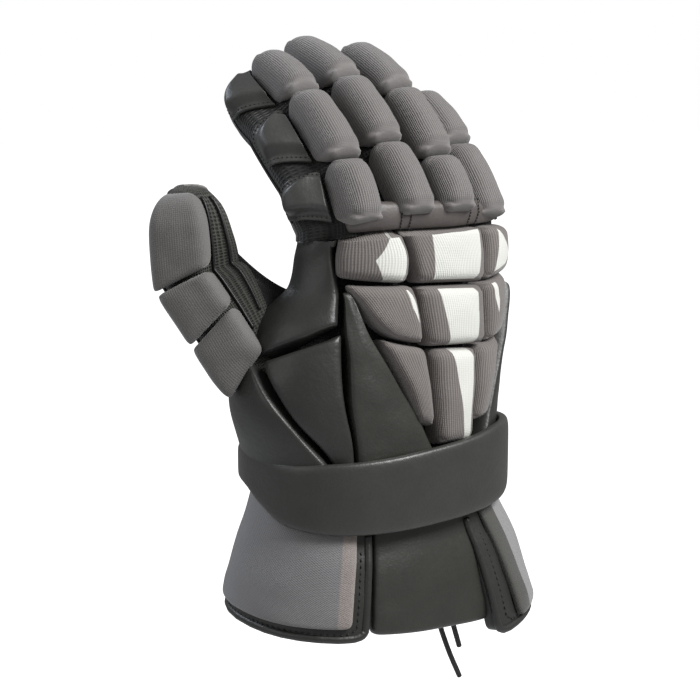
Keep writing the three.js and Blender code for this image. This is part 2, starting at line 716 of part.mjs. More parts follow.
const thumbPalm = solid(palmSide(thumbFrames, thumbCount, THUMB_START, 0));
const thumbPalmClear = solid(palmSide(thumbFrames, thumbCount, THUMB_START, GAP));

// Palm and back, cut apart on a plane through the hand and along the stalls
const PALM_LEVEL = 0.2 * HAND_DEPTH;
const SPLIT_REACH = 2 * HAND_WIDTH;
const palmBlock = (gap) => solid(box([-SPLIT_REACH, PALM_LEVEL - gap, -HAND_LENGTH],
  [SPLIT_REACH, SPLIT_REACH, 1.1 * HAND_LENGTH]));
let hollow = handInner.add(thumbInner);
let skin = handOuter.add(thumbOuter);
let palmZone = palmBlock(0).subtract(thumbClear.subtract(handOuter)).add(thumbPalm);
let stallZone = thumbPalmClear;
for (const finger of fingers) {
  hollow = hollow.add(finger.inner);
  skin = skin.add(finger.outer);
  palmZone = palmZone.add(finger.palm);
  stallZone = stallZone.add(finger.palmClear);
}
add('palm', geometryOf(skin.subtract(hollow).intersect(palmZone)), PALM_LEATHER);
for (const finger of fingers) {
  const shell = finger.outer.subtract(hollow).subtract(handClear)
    .subtract(palmBlock(GAP)).subtract(stallZone);
  add(`${finger.name}_gusset`, geometryOf(shell), BLACK_MESH);
}
const thumbShell = thumbOuter.subtract(hollow).subtract(handClear).subtract(stallZone);
add('thumb_gusset', geometryOf(thumbShell), BLACK_MESH);

// Cushions along a stall. along: share of the cushion's length, rise and spread: shares of
// its height and width, with the ends leaning to the neighbours' ends.
const PAD_ENDS = [
  { along: 0, rise: 0.5, spread: 0.84 },
  { along: 0.07, rise: 0.8, spread: 0.95 },
  { along: 0.24, rise: 1, spread: 1 },
  { along: 0.76, rise: 1, spread: 1 },
  { along: 0.93, rise: 0.8, spread: 0.95 },
  { along: 1, rise: 0.5, spread: 0.84 },
];
const TIP_ENDS = PAD_ENDS.map((row, i) => {
  if (i === 5) return { along: 1, rise: 0.22, spread: 0.55 };
  if (i === 4) return { along: 0.93, rise: 0.62, spread: 0.8 };
  if (i === 3) return { along: 0.76, rise: 0.9, spread: 0.97 };
  return row;
});
const PAD_UNDER = [-PAD_EDGE, -2 / STALL_SIDES, 0, 2 / STALL_SIDES, PAD_EDGE];
const ARCH_STEPS = 6;

// grow: how far its surface is moved out, for cutting room for it
function stallPad(frames, surface, { from, to, length, width, height, ends, grow = 0 }) {
  const inset = (SEAM - grow) / length;
  return loft(ends.map((row) => {
    const place = THREE.MathUtils.lerp(from + inset, to - inset, row.along);
    const { dorsal, across } = frames(place);
    const under = PAD_UNDER.map((turn) => lifted(surface, turn, place, STALL_SEAT - grow));
    const middle = under[0].clone().add(under[4]).multiplyScalar(0.5);
    const crown = under[2].clone().sub(middle).dot(dorsal) + (height + grow) * row.rise;
    const arch = Array.from({ length: ARCH_STEPS + 1 }, (_, i) => {
      const angle = (Math.PI * i) / ARCH_STEPS;
      return middle.clone()
        .addScaledVector(across, (width / 2 + grow) * row.spread * bend(Math.cos(angle), 0.7))
        .addScaledVector(dorsal, crown * bend(Math.sin(angle), 0.75));
    });
    return [...under, ...arch];
  }), crescentCap(PAD_UNDER.length, ARCH_STEPS + 1));
}

const fingerPad = (finger, i, grow) => stallPad(finger.frames, finger.surface, {
  from: i === 0 ? 0.04 : i,
  to: i === finger.count - 1 ? i + 1.02 : i + 1,
  length: finger.segments[i].length,
  width: FINGER_PAD_WIDTH,
  height: FINGER_PAD,
  ends: i === finger.count - 1 ? TIP_ENDS : PAD_ENDS,
  grow,
});
let handBack = handOuter.subtract(hollow).subtract(palmBlock(GAP)).subtract(stallZone);
for (const finger of fingers) {
  handBack = handBack.subtract(solid(fingerPad(finger, 0, 3 * GAP)));
  finger.segments.forEach((segment, i) => {
    add(`${finger.name}_pad_${segment.name}`, fingerPad(finger, i, 0), RIBBED_TEXTILE);
  });
}
add('hand_back', geometryOf(handBack), BLACK_MESH);
for (let i = 1; i < thumbCount; i += 1) {
  const last = i === thumbCount - 1;
  const pad = stallPad(thumbFrames, thumbSurface, {
    from: i,
    to: last ? i + 1.02 : i + 1,
    length: thumbSegments[i].length,
    width: THUMB_PAD_WIDTH,
    height: THUMB_PAD,
    ends: last ? TIP_ENDS : PAD_ENDS,
  });
  add(`thumb_pad_${thumbSegments[i].name}`, pad, RIBBED_TEXTILE);
}

// Guards on the thumb side of the index finger
const guardShape = { across: FLANGED, up: FLANGED, corner: 0.1 };
for (const guard of GUARDS) {
  const rows = [
    [guard.palmEdge, guard.palmLow, GUARD_BACK_EDGE, guard.backLow],
    [guard.palmEdge, guard.palmHigh, GUARD_BACK_EDGE, guard.backHigh],
  ];
  const piece = cushion(fingers[0].surface, rows, FINGER_GUARD, guardShape);
  add(`index_side_${guard.name}`, piece, SMOOTH_LEATHER);
}

// Strap: a closed padded band with rounded edges. grow: how far its surface is moved out.
const STRAP_STATIONS = 30;
const STRAP_SECTION = [
  { off: 0, rise: 0.06 },
  { off: 0, rise: 0.94 },
  { off: 0.35, rise: 1 },
  { off: 0.8, rise: 0.97 },
  { off: 1, rise: 0.86 },
  { off: 1, rise: 0.14 },
  { off: 0.8, rise: 0.03 },
  { off: 0.35, rise: 0 },
];
const strapBand = (grow) => solid(closedRing(Array.from({ length: STRAP_STATIONS }, (_, i) => {
  const turn = (2 * i) / STRAP_STATIONS - 1;
  const { top, bottom } = sample(STRAP, turn);
  return STRAP_SECTION.map(({ off, rise }) => {
    const out = STRAP_SEAT + off * STRAP_THICKNESS + grow * (off > 0.5 ? 1 : -1);
    const height = THREE.MathUtils.lerp(bottom, top, rise) * STRAP_HEIGHT + grow * (rise > 0.5 ? 1 : -1);
    return sectionPoint(turn, grown(sample(HAND, 0), out), height);
  });
})));
add('wrist_strap', geometryOf(strapBand(0)), CUFF_LEATHER);

// Back of the hand
for (const pad of BACK_PADS) {
  add(`back_pad_${pad.name}`, cushion(handSurface, [pad.low, pad.high], BACK_PAD), RIBBED_TEXTILE);
}
const bandShape = { across: refined(PUFFED, 8), up: PUFFED.filter((_, i) => i !== 2 && i !== 3), corner: 0 };
add('knuckle_band', cushion(handSurface, KNUCKLE_ROW, KNUCKLE_BAND, bandShape), SMOOTH_LEATHER);
add('wedge_panel', cushion(handSurface, WEDGE_INNER, WEDGE_PANEL,
  { up: refined(PUFFED, 6), corner: 0.1 }), SMOOTH_LEATHER);
// Panels on both sides of the hand, tucked under the strap and the thumb
const panelShape = { across: refined(PUFFED, 4), up: refined(PUFFED, 4), corner: 0.1 };
const widePanelShape = { ...panelShape, across: refined(PUFFED, 5) };
const tuckedPanel = (rows, thickness, shape) => {
  const panel = solid(cushion(handSurface, rows, thickness, shape));
  return geometryOf(panel.subtract(thumbClear).subtract(strapBand(GAP)));
};
add('side_panel_upper', tuckedPanel(SIDE_PANEL_UPPER, SIDE_PANEL, panelShape), SMOOTH_LEATHER);
add('side_panel_lower', tuckedPanel(SIDE_PANEL_LOWER, SIDE_PANEL, panelShape), SMOOTH_LEATHER);
add('thumb_base_panel', tuckedPanel(THUMB_BASE_PANEL, THUMB_BASE, widePanelShape), SMOOTH_LEATHER);
add('ulnar_panel', tuckedPanel(ULNAR_SIDE, ULNAR_PANEL, { ...widePanelShape, corner: 0.15 }), SMOOTH_LEATHER);

// Cuff
const eyelet = (turn, height) => {
  const at = lifted(cuffSurface, turn, height, 0);
  const out = lifted(cuffSurface, turn, height, 1).sub(at);
  const hole = new THREE.CylinderGeometry(EYELET / 2, EYELET / 2, 4 * CUFF_PANEL, 8);
  hole.applyQuaternion(new THREE.Quaternion().setFromUnitVectors(new THREE.Vector3(0, 1, 0), out));
  return solid(hole.translate(at.x, at.y, at.z));
};
const flap = (rows, columns, holes) => {
  let body = solid(cushion(cuffSurface, rows, CUFF_PANEL,
    { across: refined(FLAT, columns), up: TUCKED, corner: 0.06, seat: GAP, seam: CUFF_SEAM }));
  for (const height of LACE_HEIGHTS) body = body.subtract(eyelet(holes, height));
  return geometryOf(body);
};
add('cuff_centre_panel', cushion(cuffSurface, CUFF_CENTRE_ROWS, CUFF_CENTRE,
  { across: refined(FLAT, 4), up: TUCKED, corner: 0.06, seat: GAP, seam: CUFF_SEAM }), CUFF_LEATHER);
add('cuff_left_flap', flap(CUFF_LEFT_ROWS, 10, LACE_LEFT - 2), SMOOTH_LEATHER);
add('cuff_right_flap', flap(CUFF_RIGHT_ROWS, 8, LACE_RIGHT), SMOOTH_LEATHER);
const faceShape = {
  across: refined(FLAT, 8),
  up: refined(FLAT, 1),
  corner: 0.12,
  seat: CUFF_PANEL + 3 * GAP,
};
add('cuff_left_face', cushion(cuffSurface, FACE_LEFT_ROWS, CUFF_FACE, faceShape), CUFF_TEXTILE);
add('cuff_right_face', cushion(cuffSurface, FACE_RIGHT_ROWS, CUFF_FACE, faceShape), CUFF_TEXTILE);

// Membrane between the thumb and the palm
const WEB_TURN = 0.55; // side of the thumb that it leaves
const WEB_HAND_TURN = -0.68; // side of the hand that it meets
const WEB_ROWS = 4;
const WEB_COLUMNS = 4;
const webGrid = (side) => Array.from({ length: WEB_ROWS + 1 }, (_, r) => {
  const t = r / WEB_ROWS;
  const thumbEnd = lifted(thumbSurface, WEB_TURN, THREE.MathUtils.lerp(1.3, 2.9, t), -1);
  const handEnd = lifted(handSurface, WEB_HAND_TURN, THREE.MathUtils.lerp(0.55, 0.72, t), -1);
  return Array.from({ length: WEB_COLUMNS + 1 }, (_unused, c) => {
    const s = c / WEB_COLUMNS;
    const sag = -12 * t * Math.sin(Math.PI * s);
    const point = thumbEnd.clone().lerp(handEnd, s);
    return point.add(new THREE.Vector3(side * 0.4, side * WEB_WALL, sag));
  });
});
const web = solid(slab(webGrid(0), webGrid(1)));
add('thumb_web', geometryOf(web.subtract(handClear).subtract(thumbClear)), BLACK_MESH);

// Laces
function cord(route, steps) {
  const curve = new THREE.CatmullRomCurve3(route);
  const section = new THREE.Shape();
  section.absarc(0, 0, LACE / 2, 0, 2 * Math.PI, false);
  return new THREE.ExtrudeGeometry(section, {
    steps,
    curveSegments: 4,
    extrudePath: curve,
    bevelEnabled: false,
  });
}
LACE_HEIGHTS.forEach((height, i) => {
  const out = CUFF_PANEL + LACE / 2 + 2 * GAP;
  const points = [
    lifted(cuffSurface, LACE_RIGHT, height, -2 * LACE),
    lifted(cuffSurface, LACE_RIGHT, height, CUFF_PANEL - 2 * GAP),
    lifted(cuffSurface, THREE.MathUtils.lerp(LACE_RIGHT, LACE_LEFT, 0.12), height, out),
    lifted(cuffSurface, THREE.MathUtils.lerp(LACE_RIGHT, LACE_LEFT, 0.5), height, out),
    lifted(cuffSurface, THREE.MathUtils.lerp(LACE_RIGHT, LACE_LEFT, 0.88), height, out),
    lifted(cuffSurface, LACE_LEFT, height, CUFF_PANEL - 2 * GAP),
    lifted(cuffSurface, LACE_LEFT, height, -2 * LACE),
  ];
  add(`lace_bridge_${i + 1}`, cord(points, 8), LACE_BRAID);
});
const hung = (height, points) => {
  const from = lifted(cuffSurface, LACE_RIGHT, height, -2 * LACE);
  from.z -= LACE / 2 + GAP;
  return [from, ...points.map((point) => new THREE.Vector3(...point))];
};
add('lace_short', cord(hung(LACE_HEIGHTS[0], LACE_SHORT_ROUTE), 10), LACE_BRAID);
add('lace_long', cord(hung(LACE_HEIGHTS[1], LACE_LONG_ROUTE), 10), LACE_BRAID);

export default glove;
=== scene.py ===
"""Looks of a right-hand lacrosse glove: cushions, panels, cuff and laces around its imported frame."""

import math

import bmesh
import bpy
from mathutils import Matrix, Vector, noise


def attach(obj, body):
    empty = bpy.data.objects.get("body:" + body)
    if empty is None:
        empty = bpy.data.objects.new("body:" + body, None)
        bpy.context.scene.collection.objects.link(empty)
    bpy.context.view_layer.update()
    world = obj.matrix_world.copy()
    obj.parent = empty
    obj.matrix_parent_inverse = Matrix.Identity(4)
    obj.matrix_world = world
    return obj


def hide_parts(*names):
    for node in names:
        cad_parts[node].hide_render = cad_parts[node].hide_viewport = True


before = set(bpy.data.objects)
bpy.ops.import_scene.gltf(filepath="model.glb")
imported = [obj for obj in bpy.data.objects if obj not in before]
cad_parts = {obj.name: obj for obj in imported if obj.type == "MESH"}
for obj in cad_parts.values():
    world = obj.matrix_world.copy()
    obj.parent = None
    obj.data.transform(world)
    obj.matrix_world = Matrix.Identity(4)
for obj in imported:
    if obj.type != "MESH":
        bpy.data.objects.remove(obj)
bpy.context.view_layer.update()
MM = 0.001

# Driving sizes of the glove in millimetres. z is up towards the fingers, -y the back of the hand.
HAND_LENGTH = 137
HAND_WIDTH = 108
HAND_DEPTH = 36
FINGER_LENGTH = 120
FINGER_WIDTH = 23
FINGER_DEPTH = 24
THUMB_LENGTH = 131
THUMB_WIDTH = 29
THUMB_DEPTH = 26
CUFF_DROP = 75
STRAP_HEIGHT = 36
ROUNDNESS = 2.4  # exponent of the rounded sections
PALM_LEVEL = 0.2 * HAND_DEPTH  # where the back of the liner meets the palm

# Thicknesses and other small sizes in millimetres
GAP = 0.3
BACK_PAD = 13
SIDE_PANEL = 11
THUMB_BASE = 13
ULNAR_SIDE = 12
FINGER_PAD = (22, 10.8)  # width and height
THUMB_PAD = (29, 10)
STALL_SEAT = 0.8
DRAWN_HEIGHT = 16  # height at which a stall's cushion is rolled before it is fitted
FINGER_GUARD = 5.5
KNUCKLE_BAND = 7.4
STRAP_SEAT = 10.6
STRAP_THICKNESS = 6
CUFF_PANEL = 8
CUFF_CENTRE = 6
CUFF_FACE = 3
LINER_WALL = 1.8
SKIN_WALL = 1.2
WEB_WALL = 1.6
PALM_LIFT = 0.7  # leather of the palm over the mesh of the stalls
TIP_DOME = 3
RIM = 4.2
PIPING = 1.5
EYELET = (3.8, 2.6, 1.4)  # radius at the foot and the top, and height
UNEVEN = 0.6  # soft waves in the foam
POINTS_APART = 0.05
SEAM_REACH = 0.005  # points nearer than this close a seam or a pole

# Places round a stall, as turns from its back: its cushion's edges and the palm's edges
PAD_EDGE = 0.28
PALM_EDGE = 0.69
INDEX_PALM_EDGE = 0.63
# Shares: how much the foot of a stall's cushion draws in, how a grid crowds towards its edges,
# and how much of a skin lies along its stall before it closes over the tip
FOOT_SIDES = 0.08
FOOT_ENDS = 0.2
CROWDING = 0.3
SKIN_BODY = 0.92
# Where the first cushion of a finger starts and how far the last one reaches past its segment
FIRST_START = -0.035
LAST_REACH = 0.02

# Sections of the hand and cuff: place, then half sizes to the thumb, little finger, back and palm
HAND = (
    (-0.16, 0.52, 0.52, 1.04, 1.04),
    (0.05, 0.52, 0.52, 1.02, 1.04),
    (0.2, 0.54, 0.51, 0.95, 1.06),
    (0.4, 0.6, 0.53, 0.85, 1.05),
    (0.6, 0.52, 0.56, 0.77, 0.86),
    (0.75, 0.385, 0.58, 0.72, 0.6),
    (0.97, 0.36, 0.6, 0.65, 0.36),
    (1.03, 0.445, 0.605, 0.73, 0.46),
    (1.05, 0.445, 0.605, 0.73, 0.46),
    (1.065, 0.42, 0.58, 0.6, 0.38),
)
CUFF = (
    (-1, 0.73, 0.775, 1.36, 1.36),
    (-0.55, 0.65, 0.67, 1.23, 1.22),
    (-0.2, 0.575, 0.575, 1.11, 1.11),
    (0.1, 0.54, 0.54, 1.08, 1.08),
)
# Strap: turn, then its upper and lower edge as shares of its height
STRAP = (
    (-1, 0.64, 0.06),
    (-0.75, 0.7, 0.2),
    (-0.57, 0.74, 0.22),
    (-0.45, 0.69, -0.12),
    (-0.3, 0.72, -0.23),
    (-0.1, 0.78, -0.25),
    (0.05, 0.86, -0.22),
    (0.2, 0.94, -0.17),
    (0.4, 0.92, -0.06),
    (0.7, 0.76, 0.06),
    (1, 0.64, 0.06),
)
# Fingers: root as shares of the hand's sizes, how far the thumb side bulges,
# and for each segment its tilt in degrees and length as a share of a finger
FINGERS = {
    "index": ((-0.284, -0.73, 1.015), 2.0, (("base", 27.5, 0.26), ("mid", 47, 0.36), ("tip", 63, 0.31))),
    "middle": ((-0.02, -0.886, 1.04), 1, (("base", 37.5, 0.32), ("mid", 46.5, 0.36), ("tip", 68, 0.38))),
    "ring": ((0.233, -0.853, 1.035), 1, (("base", 34, 0.245), ("mid", 43, 0.355), ("tip", 62.5, 0.365))),
    "pinky": ((0.487, -0.64, 1), 1, (("base", 36.5, 0.34), ("tip", 52, 0.33))),
}
THUMB_SEGMENTS = (("root", 43, 0.244), ("base", 33, 0.223), ("mid", 35, 0.2), ("tip", 4, 0.317))
THUMB_ROOT = (-0.472, -0.064, 0.304)
THUMB_BULGE = 1.8
THUMB_HEADING = math.radians(50)
THUMB_ROLL = 272
# Sections along a stall: place, width, depth and bulge
FINGER_SHAPE = (
    (-0.2, 1, 1.6, 0.65), (0, 1, 1.5, 0.7), (0.35, 1, 1.4, 1), (0.7, 1, 1.4, 1), (1, 0.98, 1.25, 0.9),
)
THUMB_SHAPE = ((-0.1, 1, 1.1, 0), (0.3, 1, 1.05, 0.4), (0.65, 1, 1.05, 1), (1, 0.96, 0.95, 0.45))
STALL_END = ((0, 1), (0.6, 0.98), (0.85, 0.86), (1, 0.6))
# Cushion taper: place from end to end, then shares of height and width
EVEN = ((-1, 1, 1), (1, 1, 1))
TUCKED = ((-1, 1.02, 1), (0, 1, 1), (0.6, 0.97, 0.98), (1, 0.84, 0.92))
TIP_TAPER = ((-1, 1.02, 1), (0.1, 1, 1), (0.5, 0.95, 0.97), (0.8, 0.84, 0.88), (1, 0.68, 0.7))
THUMB_START = ((-1, 0.3, 0.96), (-0.6, 0.72, 0.99), (-0.1, 1, 1), (1, 1, 1))
THUMB_TAPER = (
    (-1, 1, 1), (-0.2, 1, 1), (0.3, 0.97, 0.96), (0.65, 0.9, 0.82), (0.88, 0.78, 0.62), (1, 0.62, 0.42),
)

# Cushions and panels, in rows from the lower edge up: turn and height of the left and right corners
BACK_PADS = {
    "1a": ((-0.328, 0.815, -0.045, 0.79), (-0.33, 0.9, -0.035, 0.885), (-0.305, 1.0, -0.07, 1.0)),
    "1b": ((-0.01, 0.785, 0.2, 0.765), (-0.035, 0.9, 0.2, 0.87), (-0.065, 1.0, 0.19, 0.982)),
    "1c": ((0.212, 0.765, 0.46, 0.8), (0.212, 0.875, 0.48, 0.875), (0.202, 0.978, 0.47, 0.958)),
    "2a": ((-0.08, 0.6, -0.004, 0.572), (-0.17, 0.67, -0.004, 0.655), (-0.3, 0.79, -0.02, 0.78)),
    "2b": ((0.005, 0.557, 0.205, 0.54), (-0.01, 0.775, 0.19, 0.757)),
    "2c": ((0.215, 0.54, 0.35, 0.565), (0.21, 0.65, 0.39, 0.67), (0.202, 0.762, 0.42, 0.79)),
    "3a": ((-0.025, 0.29, 0.005, 0.27), (-0.06, 0.45, 0.005, 0.43), (-0.125, 0.605, 0.003, 0.555)),
    "3b": ((0.014, 0.2, 0.125, 0.195), (0.012, 0.548, 0.165, 0.528)),
    "3c": ((0.135, 0.26, 0.2, 0.265), (0.175, 0.53, 0.33, 0.56)),
}
# White rubbery ink on the cushions: convex outlines in shares across and up, anticlockwise
BACK_PRINTS = {
    "1a": ((0.28, -1), (0.84, -1), (0.84, 0.2), (0.76, 1), (0.66, 1), (0, -0.15), (0.14, -0.6)),
    "1b": ((-0.72, -0.97), (0.5, -0.97), (0.62, -0.7), (0.8, 0.95), (-0.4, 0.95)),
    "1c": ((-0.75, -0.75), (-0.2, -0.55), (0.1, -0.2), (-0.5, 0.92)),
    "2a": ((0.62, -0.7), (0.74, -0.55), (0.88, 0.5), (0.74, 0.95), (0.5, 0.95), (0.66, 0.4)),
    "2b": ((-0.5, -1), (0.45, -1), (0.5, -0.75), (0.6, 0.75), (0.5, 0.95), (-0.64, 0.97), (-0.6, 0.2)),
    "2c": ((-0.5, -0.5), (-0.35, 0.3), (-0.45, 0.95), (-0.8, 0.95), (-0.6, 0.4)),
    "3b": ((0.2, -1), (0.55, -0.97), (0.62, 0.8), (0.5, 1), (-0.42, 1), (-0.3, 0.6)),
}
SIDE_PANEL_UPPER = (
    (-0.51, 0.522, -0.262, 0.641),
    (-0.62, 0.6, -0.285, 0.7),
    (-0.54, 0.712, -0.32, 0.806),
    (-0.52, 0.86, -0.34, 0.92),
    (-0.5, 0.96, -0.305, 1.0),
)
SIDE_PANEL_LOWER = (
    (-0.26, 0.14, -0.215, 0.14),
    (-0.31, 0.26, -0.205, 0.3),
    (-0.41, 0.41, -0.215, 0.46),
    (-0.495, 0.505, -0.24, 0.62),
)
THUMB_BASE_PANEL = (
    (-0.84, 0.12, -0.27, 0.14),
    (-0.86, 0.2, -0.3, 0.21),
    (-0.88, 0.3, -0.37, 0.34),
    (-0.84, 0.42, -0.45, 0.43),
    (-0.7, 0.58, -0.55, 0.53),
)
WEDGE_PANEL = (
    (-0.21, 0.15, 0.01, 0.17),
    (-0.198, 0.35, -0.03, 0.345),
    (-0.212, 0.55, -0.12, 0.56),
    (-0.29, 0.76, -0.265, 0.765),
)
ULNAR_PANEL = (
    (0.17, 0.15, 0.66, 0.15),
    (0.24, 0.3, 0.7, 0.3),
    (0.33, 0.5, 0.72, 0.5),
    (0.42, 0.75, 0.62, 0.72),
)
KNUCKLE_ROWS = ((-0.25, 1.012, 0.49, 0.985), (-0.25, 1.056, 0.49, 1.046))
GUARD_ROWS = {
    "base": ((-0.6, 0.36, -0.31, 0.03), (-0.56, 0.95, -0.3, 0.5), (-0.34, 1.0, -0.3, 0.97)),
    "mid": ((-0.54, 1.38, -0.31, 1.1), (-0.52, 1.87, -0.3, 1.52), (-0.34, 2.0, -0.3, 1.97)),
    "tip": ((-0.58, 2.5, -0.31, 2.08), (-0.54, 2.85, -0.3, 2.5), (-0.4, 2.98, -0.3, 2.98)),
}
CUFF_CENTRE_ROWS = ((-0.15, -0.8, 0.12, -0.89), (-0.15, -0.5, 0.12, -0.5), (-0.15, 0.08, 0.12, 0.08))
CUFF_LEFT_ROWS = ((-1.19, -0.66, -0.15, -0.82), (-1.19, -0.4, -0.15, -0.45), (-1.19, 0.28, -0.15, 0.08))
CUFF_RIGHT_ROWS = ((0.1, -0.99, 0.66, -0.86), (0.1, -0.5, 0.66, -0.45), (0.085, 0.08, 0.66, 0.08))
FACE_LEFT_ROWS = ((-0.74, -0.68, -0.2, -0.74), (-0.74, -0.42, -0.2, -0.42), (-0.74, 0.2, -0.2, -0.05))
FACE_RIGHT_ROWS = ((0.175, -0.93, 0.52, -0.86), (0.165, -0.5, 0.52, -0.5), (0.145, -0.05, 0.52, 0.0))
CUFF_TUCK = ((-1, 1), (0.2, 1), (0.5, 0.72), (1, 0.5))
FACE_TUCK = ((-1, 1), (0.2, 1), (0.6, 0.82), (1, 0.55))
ULNAR_RISE = ((-1, 0.9), (0, 1.1), (1, 1.5))
# How far a seam of the thumb leans: place, then shares of a segment at its finger side
THUMB_SLANT = ((1, 0.16), (2, 0.12), (3, 0.06), (4, 0))

# Laces: thickness, heights of the bridges, turns of their eyelets and routes of the free ends
LACE = 3
LACE_HEIGHTS = (-0.3, -0.62)
LACE_LEFT = 0.845
LACE_RIGHT = 0.625
LACE_SHORT_ROUTE = ((58, 15, -44), (61, 15.5, -60), (65, 17, -78), (69.5, 17.5, -92), (76, 18, -110))
LACE_LONG_ROUTE = ((62, 22, -60), (62, 25, -74), (65, 25, -90), (73, 24.5, -112), (82, 24, -131))

# Lines over the pieces, in shares across and up
BAND_SLITS = (-0.48, -0.4, 0.06, 0.16, 0.56, 0.63)
GUARD_HEM = ((0.85, -0.86), (-0.88, -0.86), (-0.88, 0.88), (0.7, 0.88))
FLAP_SEAMS = {
    "left": ((0.93, 0.4), (0.93, -0.8), (0.88, -0.9), (-0.2, -0.9)),
    "right": ((-0.87, 0.4), (-0.87, -0.8), (-0.8, -0.9), (0.6, -0.9)),
}
FLAP_RIM = ((0.97, 0.6), (0.97, -0.86), (0.955, -0.93), (0.92, -0.97), (0.85, -0.985), (-0.3, -0.985))
THUMB_PIPING = ((0.33, 1.6), (0.43, 1.8), (-0.32, 1.0))  # turn and start
FINGER_PIPING_START = 0.3
# The web between thumb and palm: turn, then its lower and upper place on each
WEB_ON_THUMB = (0.5, 1.3, 3.2)
WEB_ON_HAND = (-0.6, 0.55, 0.74)

# Lights: turn and rise in degrees, distance and size in metres, watts and colour
LIGHTS = {
    "key": (24, 45, 1.1, 0.5, 18, "ffffff"),
    "fill": (-95, 20, 1.2, 0.9, 2.4, "ffffff"),
    "rim": (-150, 35, 1.2, 0.5, 5, "e8f0ff"),
}
LIGHT_AIM = 0.06
FLOOR_SIZE = 14
FLOOR_LEVEL = -0.6
AMBIENT = 0.25


def lerp(a, b, share):
    return a + (b - a) * share


def clamp(value, low, high):
    return max(low, min(high, value))


def smoothstep(value, low, high):
    share = clamp((value - low) / (high - low), 0, 1)
    return share * share * (3 - 2 * share)


def curve(w, start, slope_start, end, slope_end):
    """A smooth way between two values or points, with the slopes at its ends."""
    return (
        (2 * w**3 - 3 * w**2 + 1) * start
        + (w**3 - 2 * w**2 + w) * slope_start
        + (3 * w**2 - 2 * w**3) * end
        + (w**3 - w**2) * slope_end
    )


def sample(table, at):
    """The values of a table at any place, on a smooth curve through its rows."""
    place = clamp(at, table[0][0], table[-1][0])
    i = 0
    while i < len(table) - 2 and table[i + 1][0] <= place:
        i += 1
    before, start = table[max(i - 1, 0)], table[i]
    end, after = table[i + 1], table[min(i + 2, len(table) - 1)]
    span = end[0] - start[0]
    s = (place - start[0]) / span
    values = []
    for k in range(1, len(start)):
        slope_start = span * (end[k] - before[k]) / (end[0] - before[0])
        slope_end = span * (after[k] - start[k]) / (after[0] - start[0])
        values.append(curve(s, start[k], slope_start, end[k], slope_end))
    return values


def bend(value, power):
    """A number raised to a power with its sign kept."""
    return math.copysign(abs(value) ** power, value)


def section_point(turn, size, z):
    """A point of a rounded section: turn 0 is the back of the hand, 0.5 the little-finger side."""
    radial, ulnar, back, palm = size
    across = math.sin(math.pi * turn)
    depth = math.cos(math.pi * turn)
    x = (ulnar if across > 0 else radial) * bend(across, 2 / ROUNDNESS)
    y = -(back if depth > 0 else palm) * bend(depth, 2 / ROUNDNESS)
    return Vector((x, y, z))


def grown(row, by):
    radial, ulnar, back, palm = row
    return (
        radial * HAND_WIDTH + by,
        ulnar * HAND_WIDTH + by,
        back * HAND_DEPTH + by,
        palm * HAND_DEPTH + by,
    )


def hand_surface(turn, height):
    return section_point(turn, grown(sample(HAND, height), 0), height * HAND_LENGTH)


def cuff_surface(turn, height):
    return section_point(turn, grown(sample(CUFF, height), 0), height * CUFF_DROP)


def lifted(surface, turn, height, lift):
    """A point of a surface moved along its outward normal."""
    step = 1e-3
    along_turn = surface(turn + step, height) - surface(turn - step, height)
    along_height = surface(turn, height + step) - surface(turn, height - step)
    return surface(turn, height) + along_turn.cross(along_height).normalized() * lift


class Stall:
    """A finger or the thumb: a chain of straight segments with a rounded section round it."""

    def __init__(self, root, heading, segments, roll, start_tilt, shape, size, left, right, anchor):
        self.heading = heading
        self.tilts = [tilt for _, tilt, _ in segments]
        self.lengths = [length for _, _, length in segments]
        self.names = [name for name, _, _ in segments]
        self.count = len(segments)
        self.roll = roll
        self.start_tilt = start_tilt
        self.shape = shape
        self.width, self.depth = size
        self.left, self.right, self.anchor = left, right, anchor
        self.joints = [root]
        for tilt, length in zip(self.tilts, self.lengths):
            self.joints.append(self.joints[-1] + self.lean(tilt) * length)

    def lean(self, tilt):
        angle = math.radians(tilt)
        return Vector((self.heading.x * math.sin(angle), self.heading.y * math.sin(angle), math.cos(angle)))

    def tilt_at(self, place):
        i = clamp(math.floor(place), 0, self.count - 1)
        own = self.tilts[i]
        before = (own + (self.tilts[i - 1] if i else self.start_tilt)) / 2
        after = (own + self.tilts[min(i + 1, self.count - 1)]) / 2
        share = clamp(place - i, 0, 1)
        return lerp(before, own, share * 2) if share < 0.5 else lerp(own, after, share * 2 - 1)

    def at(self, place):
        """Middle, dorsal and across directions, half width and depth, and bulges at a place."""
        i = clamp(math.floor(place), 0, self.count - 1)
        tilt = self.tilt_at(place)
        along = self.lean(tilt)
        direction = self.lean(self.start_tilt if place < 0 else self.tilts[i])
        spot = self.joints[i] + direction * (place - i) * self.lengths[i]
        dorsal = Matrix.Rotation(math.radians(self.roll), 3, along) @ self.lean(tilt - 90)
        width, depth, bulge = sample(self.shape, place / self.count)
        last = place - self.count + 1
        end = sample(STALL_END, last)[0] if last > 0 else 1
        half_width = self.width / 2 * width * end
        half_depth = self.depth / 2 * depth * end
        spot = spot - dorsal * self.anchor * half_depth
        left, right = 1 + (self.left - 1) * bulge, 1 + (self.right - 1) * bulge
        return spot, dorsal, along.cross(dorsal), half_width, half_depth, left, right

    def surface(self, turn, place):
        spot, dorsal, across, half_width, half_depth, left, right = self.at(place)
        wrapped = (turn + 1) % 2 - 1
        bulge = smoothstep(abs(wrapped), PAD_EDGE, 0.5)
        side = half_width * lerp(1, left if wrapped < 0 else right, bulge)
        return (
            spot
            + across * side * bend(math.sin(math.pi * turn), 2 / ROUNDNESS)
            + dorsal * half_depth * bend(math.cos(math.pi * turn), 2 / ROUNDNESS)
        )


